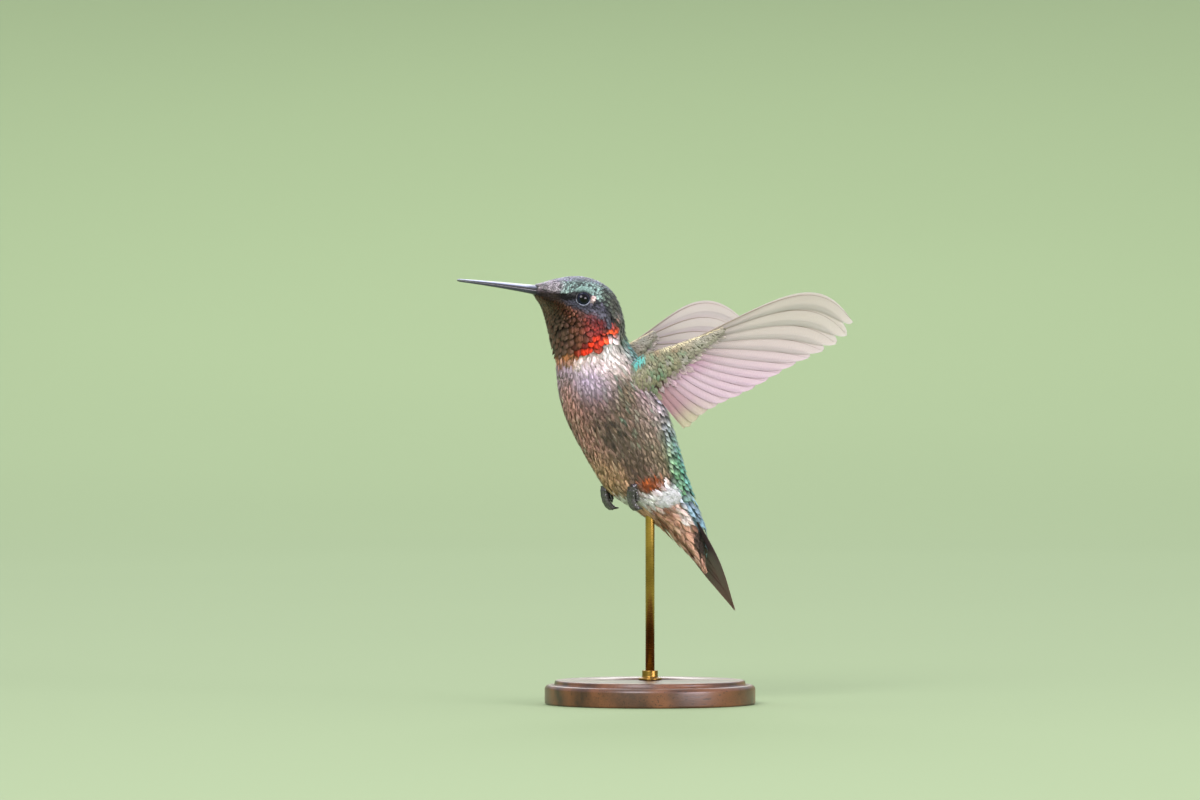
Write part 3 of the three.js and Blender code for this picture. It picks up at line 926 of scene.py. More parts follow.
@dataclass(frozen=True)
class Patch:
    """A soft-edged patch of colour on the body, the same on both sides."""

    station: float  # its middle along the body
    turn: float  # its middle round the body
    long: float  # half length, in stations
    wide: float  # half width, in degrees
    colour: str
    strength: float = 1.0
    lean: float = 0.0  # degrees of turn that it shifts for each station

    def share(self, station: Array, turn: Array) -> Array:
        """How much of the patch's colour each place takes."""
        along = station - self.station
        across = turn - self.turn - self.lean * along
        return self.strength * smooth(1.25, 0.7, np.hypot(along / self.long, across / self.wide))


PATCHES = tuple(Patch(*row) for row in (  # station, turn, half length, half width, colour, strength, lean
    # head
    # the first patch, purple-grey on top of the crown, is a painted reflection of the sky on its green
    # feathers
    (3.2, 8, 3, 32, "56556f", 0.8), (1, 48, 0.8, 64, "aea0a8", 0.85), (0.5, 60, 0.5, 60, "55484c", 0.7),
    (4.8, 56, 0.8, 16, "4c583f", 0.8), (5.8, 40, 1.3, 42, "393a2e", 0.95), (6.9, 20, 0.9, 45, "4c5744", 0.85),
    (5.85, 59, 0.16, 5, "a88478", 0.8), (1.9, 99, 0.95, 12, "0f0e0f", 1, -6),
    (1.1, 130, 0.8, 45, "2a221b", 0.9), (2.5, 88, 0.5, 10, "100f12", 1), (3.4, 114, 0.9, 9, "2a2328", 0.8),
    (3.1, 104, 0.7, 7, "40424f", 0.7), (3.8, 80, 0.24, 8, "e6cdc8", 1, -4),
    (4.9, 90, 0.9, 9, "62616d", 0.8, -14), (5.6, 74, 0.35, 7, "2c2930", 0.6),
    # gorget: dark at the front and fiery red-orange at the sides; this iridescent flash is painted by place,
    # a painted reflection
    (3.2, 172, 3.3, 30, "604a42", 0.9), (2, 140, 1.2, 28, "3a291d", 0.75), (4.2, 122, 1.3, 18, "6f4638", 0.7),
    (4.9, 108, 0.8, 16, "712a26", 0.85), (5.4, 98, 0.45, 12, "6d201c", 0.9),
    (5.95, 114, 0.42, 26, "a02408", 1, -12), (6.2, 80, 0.36, 15, "f25828", 1),
    # under parts
    # the second patch whitens the collar's side: partly its own white, partly painted light that lifts the
    # shade there
    (6.2, 168, 0.5, 30, "c8804f", 0.7), (6.95, 80, 0.7, 16, "fff6f4", 1), (7.55, 132, 0.6, 26, "cfc0d8", 0.8),
    (8.2, 172, 1, 22, "bc958c", 0.8), (8.6, 142, 0.55, 24, "806058", 0.8),
    (8.5, 96, 0.7, 16, "776f58", 0.9, 12), (8.9, 68, 0.85, 7, "d6bcd4", 0.95, 9),
    (9.8, 78, 0.7, 12, "bba8a0", 0.85), (9.5, 122, 0.4, 22, "5c5042", 0.4),
    (10.3, 116, 0.8, 24, "5c5844", 0.5), (11.2, 124, 0.5, 24, "5e4e3c", 0.7),
    (10.9, 84, 0.9, 12, "8a8064", 0.7), (9.9, 178, 2.2, 22, "cc988c", 0.8),
    (11.6, 166, 0.8, 30, "d4ac88", 0.9), (11.93, 108, 0.32, 20, "b0561f", 1, 16),
    # vent and tail coverts
    (13.55, 92, 0.5, 10, "fdf2f4", 0.95), (15.6, 150, 1.2, 40, "c49c86", 0.6),
    (15, 80, 1.25, 25, "40342f", 1, 16),
    # back
    (7, 36, 0.42, 40, "4a5038", 0.95), (7.5, 44, 0.24, 16, "5cc8c6", 0.95), (8.2, 50, 0.4, 14, "8f9c85", 0.7),
    (9.4, 34, 0.8, 30, "cab0ba", 0.8), (11.7, 60, 1, 14, "6da870", 0.8), (12, 36, 1.4, 18, "5cae9f", 0.8),
    (13.6, 40, 1, 40, "84aec6", 0.8),
))


class Markings:
    """The bird's colours, for its skin and its coat alike, and the bounds of its tracts."""

    # the tracts' bounds, as (station, turn) or (turn, station)
    face_top = [
        (0.3, 70), (1, 84), (1.8, 88), (2.4, 88), (3.1, 75),
        (3.7, 72), (4.4, 76), (5.2, 70), (5.8, 62), (6.3, 50),
    ]
    gorget_top = [
        (0.4, 150), (1.2, 138), (2, 124), (2.6, 118), (3.4, 116),
        (4.2, 112), (5, 104), (5.6, 90), (6, 72), (6.7, 58),
    ]
    gorget_end = [
        (52, 6.3), (60, 6.7), (80, 6.65), (100, 6.5), (120, 6.2),
        (140, 6.1), (155, 5.8), (168, 5.6), (180, 5.55),
    ]
    collar_end = [(40, 7), (55, 7.7), (70, 8), (85, 8), (110, 7.8), (140, 7.15), (180, 6.45)]
    breast_end = [(75, 7.9), (100, 8.2), (120, 8.7), (150, 8.9), (180, 8.6)]
    back_edge = [
        (6.2, 44), (7, 47), (7.6, 50), (8.4, 50), (9.4, 60),
        (10.5, 68), (11.5, 74), (12.5, 80), (13.5, 78), (14.5, 72),
    ]
    belly_end = [(60, 11.9), (86, 11.85), (100, 12), (112, 12.25), (140, 12.4), (180, 12.35)]
    down_end = [(60, 12.5), (80, 12.7), (95, 12.85), (120, 13.15), (150, 13.1), (180, 13)]
    back_end = 12.6

    TRACT_COLOURS = {
        Tract.CROWN: "84a29a", Tract.FACE: "4a4956", Tract.GORGET: "5c3729", Tract.COLLAR: "f8dfdc",
        Tract.BREAST: "bba6b6", Tract.BELLY: "9c8072", Tract.DOWN: "fbf5ff", Tract.BACK: "6d9a8c",
        Tract.RUMP: "9cc0ce", Tract.VENT: "e6b29c",
    }

    def tract(self, station: Array, turn: Array) -> Array:
        """The tract of each place, as an array of Tract members' values.

        Args:
            station: stations.
            turn: turns in degrees, either side.

        Returns:
            An array of names.
        """
        turn = turn_off(turn)
        gorget = (turn > along_line(station, self.gorget_top)) & (station < along_line(turn, self.gorget_end))
        face = (turn > along_line(station, self.face_top)) & (station < 6.2)
        nape = (turn < 46) & (station < 7.1)
        collar = (station < along_line(turn, self.collar_end)) & (station > 5.5) & ~nape
        back = turn < along_line(station, self.back_edge)
        breast = station < along_line(turn, self.breast_end)
        chosen = np.full(station.shape, Tract.VENT.value, dtype="U8")
        for tract, where in (
            (Tract.DOWN, station < along_line(turn, self.down_end)),
            (Tract.BELLY, station < along_line(turn, self.belly_end)),
            (Tract.RUMP, back),
            (Tract.BACK, back & (station < self.back_end)),
            (Tract.BREAST, ~back & breast),
            (Tract.COLLAR, collar & ~back),
            (Tract.CROWN, nape | (station < 5.5)),
            (Tract.FACE, face),
            (Tract.GORGET, gorget),
        ):
            chosen[where] = tract.value
        return chosen

    AROUND = ((0, 0), (0.45, 0), (-0.45, 0), (0, 11), (0, -11), (0.3, 8), (0.3, -8), (-0.3, 8), (-0.3, -8))
    FLECKS = (  # loose flecks, spots and bars: a patch, how large its specks are, and how they are cut off
        (Patch(8.7, 92, 1.2, 32, "6a9480", 0.6), 0.75, 0.12, 0.5),
        (Patch(10, 106, 1.2, 24, "6f8f76", 0.35), 0.75, 0.12, 0.5),
        (Patch(3.3, 42, 2.4, 60, "1d2220", 0.8), 0.35, 0, 0.3),
        # purple-grey flecks on top of the crown: a painted reflection of the sky
        (Patch(2.6, 4, 2.6, 34, "9490aa", 0.7), 0.35, 0.1, 0.4),
        (Patch(9.52, 134, 0.12, 26, "3d392f", 0.8), 2, -0.6, 0),
        (Patch(9.9, 132, 0.12, 24, "3d392f", 0.8), 2, -0.6, 0),
        (Patch(10.26, 130, 0.12, 24, "3f382e", 0.8), 2, -0.6, 0),
        (Patch(14.2, 128, 1.4, 55, "84563e", 0.9), 1.2, 0, 0.35),
    )

    def colour(self, station: Array, turn: Array) -> Array:
        """The coat's colour at each place: crisp on the head, melting between tracts below it."""
        held = np.minimum(station, 6.95)
        reach = mix(1, 0.3, smooth(10.8, 11.5, station))
        near = [self.crisp(np.maximum(station + a * reach, held), turn + b * reach) for a, b in self.AROUND]
        return mix(near[0], np.mean(near, axis=0), smooth(6.6, 7.3, station)[:, None])

    def crisp(self, station: Array, turn: Array) -> Array:
        """The colour of the tract and the patches at each place."""
        names = self.tract(station, turn)
        colours = np.zeros((len(station), 3))
        for tract, colour in self.TRACT_COLOURS.items():
            colours[names == tract.value] = srgb(colour)
        for patch in PATCHES:
            colours = mix(colours, ink(patch.colour), patch.share(station, turn_off(turn))[:, None])
        return colours


class Pattern(Enum):
    """How the colour changes over one feather."""

    PLAIN = "plain"
    SCALE = "scale"  # dark foot, bright face, darker hem
    HIGHLIT_HEM = "fringed"  # pale hem, a painted highlight
    SPOTTED = "spotted"  # brown middle


def paint(pattern: Pattern, base: Array, leaf: Leaf, rng: Random, foot: float, streak: float) -> Array:
    """The colours of a tract's vertices.

    Args:
        pattern: the tract's pattern.
        base: each feather's colour.
        leaf: one feather's shape.
        rng: varies the barbs, and picks the feathers that carry a spot.
        foot: how bright the root is for the feather.
        streak: how much the barbs of a feather differ.

    Returns:
        A colour for each feather and vertex.
    """
    v, u = leaf.along[None, :, None], np.abs(leaf.across)[None, :, None]
    strands = rng.normal(1, streak, (len(base), leaf.strand.max() + 1))
    tone = base[:, None] * strands[:, leaf.strand, None].clip(0.4, 1.8)
    if pattern is Pattern.SCALE:
        colour = tone * mix(0.2, 1.15, smooth(0.3, 0.66, v))
        hem = 1 - foot
        return colour * (1 - hem * smooth(0.86, 1, v) - 0.9 * hem * smooth(0.65, 1, u)).clip(0.1, 1)
    colour = mix(tone * foot, tone, smooth(0.1, 0.6, v))
    # a pale hem, painted as a highlight
    if pattern is Pattern.HIGHLIT_HEM:
        pale = np.minimum(tone * 1.45 + 0.04, 0.9)
        return mix(colour, pale, 0.35 * smooth(0.72, 1, v))
    if pattern is Pattern.SPOTTED:
        bold = (rng.random(len(base)) < 0.15)[:, None, None] * 0.7
        middle = smooth(0.8, 0.3, u) * smooth(0.3, 0.5, v) * smooth(0.95, 0.75, v)
        pale = np.minimum(tone * 1.35 + 0.05, 0.9)
        return mix(mix(colour, pale, 0.6 * smooth(0.7, 1, v)), ink("7a4724"), bold * middle)
    return colour


# --- skin


@dataclass
class SkinBuilder:
    """One skin over the body, the thighs and the arms of the wings, under the coat."""

    body: Body
    markings: Markings
    wings: list["Wing"]  # their arms are covered too
    voxel: float = 0.26  # how finely the parts are welded into one
    rings: int = 90
    sides: int = 64
    body_depth: float = 0.45
    head_depth: float = 0.32
    thigh_size: float = 0.84  # of its down
    arm_from: float = 50.0  # the height above which what stands off the body is a wing's arm

    def depth(self, station: Array) -> Array:
        """How far under the coat's surface the skin lies."""
        return mix(self.head_depth, self.body_depth, smooth(5.5, 8, station)) * smooth(17.3, 15.5, station)

    def trunk(self) -> Shell:
        """The body's own skin, as closed rings."""
        station, turn = np.meshgrid(np.linspace(0.02, 16.9, self.rings), circle(self.sides), indexing="ij")
        points, _, _, out = self.body.frame(station, turn)
        return closed(points - out * self.depth(station)[..., None])

    def thigh(self, side: int) -> Shell:
        """The skin of one thigh."""
        surface = Thigh(side)
        a, b = np.meshgrid(np.linspace(0.15, math.pi - 0.15, 16), circle(24), indexing="ij")
        return closed(surface.middle + (surface.point(a, b) - surface.middle) * self.thigh_size)

    def weld(self, shell: Shell) -> bpy.types.Mesh:
        """One mesh of overlapping closed shells."""
        rough = make_object("skin_parts", shell, [])
        remesh = rough.modifiers.new("weld", "REMESH")
        remesh.mode = "VOXEL"
        remesh.voxel_size = self.voxel * MM
        soften = rough.modifiers.new("soften", "SMOOTH")
        soften.factor = 0.5
        soften.iterations = 6
        graph = bpy.context.evaluated_depsgraph_get()
        mesh = bpy.data.meshes.new_from_object(rough.evaluated_get(graph))
        bpy.data.objects.remove(rough)
        return mesh

    def build(self) -> None:
        """The finished skin."""
        parts = [self.trunk(), self.thigh(LEFT), self.thigh(RIGHT), *(w.arm_skin() for w in self.wings)]
        mesh = self.weld(joined(parts))
        mesh.name = "skin"
        points = np.zeros(3 * len(mesh.vertices), np.float32)
        mesh.vertices.foreach_get("co", points)
        colours, chart = self.charted(points.reshape(-1, 3) / MM)
        add_paint(mesh, colours)
        loops = np.zeros(len(mesh.loops), np.int32)
        mesh.loops.foreach_get("vertex_index", loops)
        corners = chart[loops].reshape(-1, 4, 2)
        across = corners[..., 0]
        over_seam = np.ptp(across, axis=1)[:, None] > 0.5
        across[over_seam & (across < 0.5)] += UNWRAP_WIDTH
        add_map(mesh, BAKE_MAP, corners)
        mesh.polygons.foreach_set("use_smooth", np.ones(len(mesh.polygons), bool))
        mesh.materials.clear()
        # the skin wears the coat's colours darkened to 0.6: painted shade in the gaps between feathers
        mesh.materials.append(Painted("skin", tone=0.6).material())
        flesh = ("head", "throat", "neck", "back", "rump", "breast", "belly", "vent")
        limbs = (f"{part}_{side}{end}" for side in SIDES for part, end in (("leg", ""), ("wing", "_arm")))
        settle(in_scene("skin", mesh), GREY, *flesh, *limbs)

    def charted(self, points: Array) -> tuple[Array, Array]:
        """Each point's colour and its place on the unwrap, from the nearest place on the body.

        Args:
            points: the skin's vertices.

        Returns:
            The colours and the places.
        """
        turns = np.linspace(-180, 180, 120, endpoint=False)
        station, turn = (part.ravel() for part in np.meshgrid(np.linspace(0, 17, 170), turns, indexing="ij"))
        samples = self.body.point(station, np.radians(turn))
        tree = kdtree.KDTree(len(samples))
        for i, p in enumerate(samples):
            tree.insert(p, i)
        tree.balance()
        found = [tree.find(p)[1:] for p in points]
        nearest, away = (np.array(part) for part in zip(*found))
        colours = self.markings.colour(station, turn)[nearest]
        arm = smooth(0.9, 1.6, away)[:, None] * (points[:, 2] > self.arm_from)[:, None]
        return mix(colours, ink("7d7a60"), arm), unwrap(station, turn)[nearest]


TONES = (0.002, 0.94)  # the darkest and the lightest that a feather may be
UNWRAP_WIDTH = 0.96  # share of the unwrap's square that the body takes each way


def unwrap(station: Array, turn: Array) -> Array:
    """Places on the unwrap of the body: turn across it and station up it, inside the unit square."""
    return np.stack([0.5 + turn / 360 * UNWRAP_WIDTH, 0.02 + UNWRAP_WIDTH * station / Body.last], -1)


# --- coat


@dataclass(frozen=True)
class TractStyle:
    """How one tract's feathers are made."""

    vane: Vane  # the leaf that covers the skin
    finish: Plumage
    pattern: Pattern
    breadth: float  # a feather's width as a share of its length
    rise: float  # how high its tip stands
    vary: float  # how much colour varies from feather to feather
    second: str  # a colour that some feathers lean to
    locks: int = 0  # layers of loose barbs over the leaves
    foot: float = 0.4  # brightness of a feather's root
    bars: float = 0.0  # strength of the dark and pale bars across the tract
    halves: bool = False  # True for a piece on each side
    slot: str = ""  # the material slot, where it isn't named as the finish is


# rows, columns, widest, foot, tip, rounding, teeth, arch
CROWN_VANE = Vane(5, 4, 0.45, 0.5, 0.2, 0.08, 0.02, 0.3)
SCALE_VANE = Vane(6, 6, 0.45, 0.5, 0.16, 0.05, 0.01, 0.34)
FACE_VANE = Vane(4, 4, 0.5, 0.5, 0.3, 0.25, 0.12, 0.2)
SOFT_VANE = Vane(4, 8, 0.45, 0.6, 0.35, 0.4, 0.42, 0.03)
BACK_VANE = Vane(5, 6, 0.45, 0.45, 0.35, 0.22, 0.1, 0.22)
LONG_VANE = Vane(6, 6, 0.4, 0.45, 0.35, 0.3, 0.16, 0.12)
COVERT_VANE = Vane(4, 4, 0.45, 0.5, 0.35, 0.28, 0.12, 0.14)
SOFT_LOCK = Lock(barbs=9, fan=0.8, width=0.06, arch=0.05)
FINE_LOCK = Lock(barbs=7, fan=1, width=0.09, rows=2)
DOWN_LOCK = Lock(barbs=11, fan=1.2, width=0.06)

IRIDESCENT = Plumage("plumage_green", metallic=0.4, roughness=0.45, sheen=0.1, contrast=0.3)
GORGET = Plumage("plumage_gorget", metallic=0.75, roughness=0.4, sheen=0, contrast=0.2)
DARK = Plumage("plumage_dark", roughness=0.65, sheen=0, gloss=0.2)
SOFT = Plumage("plumage_grey", roughness=0.8, sheen=0.15, contrast=0.1, gloss=0.2)
WHITE = Plumage("plumage_white", roughness=0.85, sheen=0.9, contrast=0.03, relief=0.01, gloss=0.25)
COVERTS = Plumage("wing_coverts", metallic=0.15, roughness=0.6, sheen=0.1)
WEB = Plumage("flight_web", roughness=0.5, sheen=0.1, pitch=0.3, contrast=0.07, relief=0.015, glow=0.3)
TAIL_WEB = Plumage("tail_web", metallic=0.1, roughness=0.42, sheen=0, pitch=0.26, contrast=0.2, relief=0.03)

STYLES = {
    Tract.CROWN: TractStyle(CROWN_VANE, IRIDESCENT, Pattern.SCALE, 0.66, 0.1, 0.6, "8e9a94", foot=0.25),
    Tract.FACE: TractStyle(FACE_VANE, DARK, Pattern.PLAIN, 0.5, 0.03, 0.2, "5c5a6a", 1, 0.8, slot=GREY),
    Tract.GORGET: TractStyle(SCALE_VANE, GORGET, Pattern.SCALE, 0.84, 0.12, 0.6, "3f1610", foot=0.5),
    Tract.COLLAR: TractStyle(SOFT_VANE, WHITE, Pattern.PLAIN, 0.34, 0.03, 0.04, "f8eeea", 3, 0.97),
    Tract.BREAST: TractStyle(SOFT_VANE, SOFT, Pattern.PLAIN, 0.27, 0.03, 0.06, "d2c3d2", 3, 0.95, 0.06, True),
    Tract.BELLY: TractStyle(SOFT_VANE, SOFT, Pattern.PLAIN, 0.24, 0.03, 0.07, "868978", 3, 0.96, 0.2, True),
    Tract.DOWN: TractStyle(SOFT_VANE, WHITE, Pattern.PLAIN, 0.4, 0.04, 0.02, "fbfaff", 3, 1),
    Tract.BACK: TractStyle(BACK_VANE, IRIDESCENT, Pattern.SCALE, 0.5, 0.1, 0.7, "8c8fa4", 0, 0.6, 0, True),
    Tract.RUMP: TractStyle(LONG_VANE, IRIDESCENT, Pattern.HIGHLIT_HEM, 0.36, 0.08, 0.6, "a3a4c4", foot=0.25),
    Tract.VENT: TractStyle(LONG_VANE, SOFT, Pattern.SPOTTED, 0.34, 0.03, 0.08, "ecd2c6", 3, 0.94, slot=PALE),
}


@dataclass
class Coat:
    """The body's feathers, tract by tract."""

    body: Body
    markings: Markings
    seed: int = 11
    candidates: int = 260000  # places that are tried for roots
    thickness: float = 0.014  # half a feather's thickness
    depth: float = 0.3  # of the roots under the surface
    spread: float = 0.42  # distance between roots, as a share of a feather's length
    eye_clear: float = 1.16  # how near the middle of an eye a feather may come
    rng: Random = field(init=False)

    LENGTHS = (  # feather length by station, on the back, the side and the belly
        [(0, 0.6), (1, 0.7), (2, 0.85), (4, 1.15), (6, 1.5), (8, 2), (11, 2.3), (13, 3.1), (15.2, 4.6)],
        [(0, 0.5), (1, 0.55), (2, 0.65), (3, 0.75), (4.5, 1.05), (6, 1.4), (7.5, 1.8), (9, 1.8), (12, 1.9),
         (13, 2.4), (14.5, 3), (16, 2.6), (17, 1.5)],
        [(0, 0.6), (1, 0.75), (2.5, 1.05), (5, 1.4), (6.5, 1.6), (8, 1.8), (12, 2), (13, 2.6), (14.5, 3.2),
         (16, 2.8), (17, 1.5)],
    )
    # how far the coat's lie turns, in degrees, by station
    LEAN = [(0, 0), (3, 0), (4.5, -8), (6, -12), (7, 0), (9, 8), (11, 4), (13, 14), (15, 0)]

    def __post_init__(self) -> None:
        """Starts the random draws."""
        self.rng = np.random.default_rng(self.seed)

    def lengths(self, station: Array, turn: Array) -> Array:
        """How long the feathers are at each place."""
        c = np.cos(np.radians(turn))
        back, side, belly = (along_line(station, stops) for stops in self.LENGTHS)
        throat = smooth(0, 10, turn_off(turn) - along_line(station, Markings.gorget_top))
        larger = 1 + 0.5 * (throat * smooth(2.5, 4, station)) * smooth(6.5, 6.2, station)
        return mix(side, np.where(c > 0, back, belly), np.abs(c) ** 1.5) * larger

    def headings(self, station: Array, turn: Array) -> Array:
        """How far the coat's lie turns towards the left at each place, in radians."""
        return np.radians(along_line(station, self.LEAN) * np.sin(np.radians(turn)))

    def roots(self) -> Roots:
        """Every feather's root."""
        station = self.rng.uniform(0.03, 16.75, self.candidates)
        turn = self.rng.uniform(-180, 180, self.candidates)
        length = self.lengths(station, turn)
        off_tail = (np.abs(turn) >= 80) | (station <= 14.75)
        at = station, np.radians(turn)
        chosen = chosen_roots(self.body, at, length, 0.98, self.spread, self.rng, off_tail)
        station, turn = station[chosen], turn[chosen]
        length = length[chosen] * self.rng.uniform(0.88, 1.14, len(chosen))
        heading = self.headings(station, turn) + self.rng.normal(0, math.radians(7), len(chosen))
        return Roots(station, np.radians(turn), heading, length, length, length)

    def clear_of_eyes(self, points: Array) -> Array:
        """False for feathers that would lie over an eye."""
        keep = np.ones(len(points), bool)
        for side in SIDES.values():
            middle, axis = Eye.seat(side)
            away = points - middle
            off = away - dot(away, axis)[..., None] * axis
            near = (np.linalg.norm(off, axis=-1) < self.eye_clear) & (dot(away, axis) > -0.5)
            keep &= ~near.any(1)
        return keep

    def feather_colours(self, style: TractStyle, station: Array, turn: Array, points: Array) -> Array:
        """Each feather's own colour: its place's, varied."""
        base = self.markings.colour(station, turn)
        count = len(base)
        coarse = speckle(points, 1.6, 3)
        lean = np.clip(self.rng.normal(0.1, 0.1 + 0.35 * style.vary, count) + 0.5 * coarse, 0, 0.8)[:, None]
        second = ink(style.second)
        light = second * (base.mean(1) / second.mean()).clip(0.02, 1.5)[:, None]
        base = mix(base, light, lean * 0.7)
        bars = np.sin(15 * station + 3 * speckle(points, 2.6, 7))
        for fleck, size, low, high in self.markings.FLECKS:
            share = fleck.share(station, turn_off(turn)) * smooth(low, high, speckle(points, size, 41))
            base = mix(base, ink(fleck.colour), share[:, None])
        tone = 1 + style.vary * (0.6 * self.rng.normal(0, 0.6, count) + 0.7 * coarse) + style.bars * bars
        return np.clip(base * tone.clip(0.35, 1.7)[:, None], 0.003, 0.93)

    def build(self) -> None:
        """Every tract, each one piece or a piece on each side."""
        roots = self.roots()
        roots.rise = self.rng.uniform(0.3, 1.5, len(roots.a))
        station, turn = roots.shown(self.body)
        station, turn = station.clip(0, Body.last), np.degrees(turn)
        names = self.markings.tract(station + self.rng.normal(0, 0.04, len(station)), turn)
        for tract, style in STYLES.items():
            parts = {"": names == tract.value}
            if style.halves:
                parts = {f"_{name}": parts[""] & (np.sign(-turn) == side) for name, side in SIDES.items()}
            for suffix, chosen in parts.items():
                shells = self.tract_shells(roots.only(chosen), station[chosen], turn[chosen], style)
                slot = style.slot or style.finish.name
                add_piece(f"coat_{tract.value}{suffix}", joined(shells), [style.finish.material()], slot)

    def tract_shells(self, roots: Roots, station: Array, turn: Array, style: TractStyle) -> list[Shell]:
        """The leaves of a tract, and its loose barbs if it has any."""
        count = len(roots.a)
        roots.width = roots.length * style.breadth * self.rng.uniform(0.9, 1.15, count)
        roots.rise = style.rise * roots.rise * (roots.length / 2.4).clip(0.4, 1.3)
        base = self.feather_colours(style, station, turn, self.body.point(roots.a, roots.b))
        places = unwrap(roots.a, np.degrees(roots.b))
        shells = [self.covering(roots, places, style.vane, style, base, 0.1)]
        for _ in range(style.locks):
            loose = roots.only(np.ones(count, bool))
            loose.heading += self.rng.normal(0, math.radians(12), count)
            loose.a += self.rng.normal(0, 0.05, count)
            loose.length *= self.rng.uniform(0.85, 1.12, count)
            loose.width *= 1.15
            loose.rise += self.rng.uniform(0.02, 0.07, count)
            shells.append(self.covering(loose, places, SOFT_LOCK, style, base, 0.24))
        return shells

    def covering(
        self, roots: Roots, places: Array, shape: Vane | Lock, style: TractStyle, base: Array, streak: float
    ) -> Shell:
        """One layer of a tract, without the feathers that would cover an eye."""
        depth = self.depth * (roots.length[:, None] / 2).clip(0.5, 1)
        laid = lay(self.body, roots, shape, depth, self.thickness)
        leaf = shape.leaf()
        colours = paint(style.pattern, base, leaf, self.rng, style.foot, streak)
        keep = self.clear_of_eyes(laid[0])
        laid = tuple(part[keep] for part in laid)
        return feathers(laid, leaf, colours[keep].clip(*TONES), places[keep], self.rng)


# --- eyes


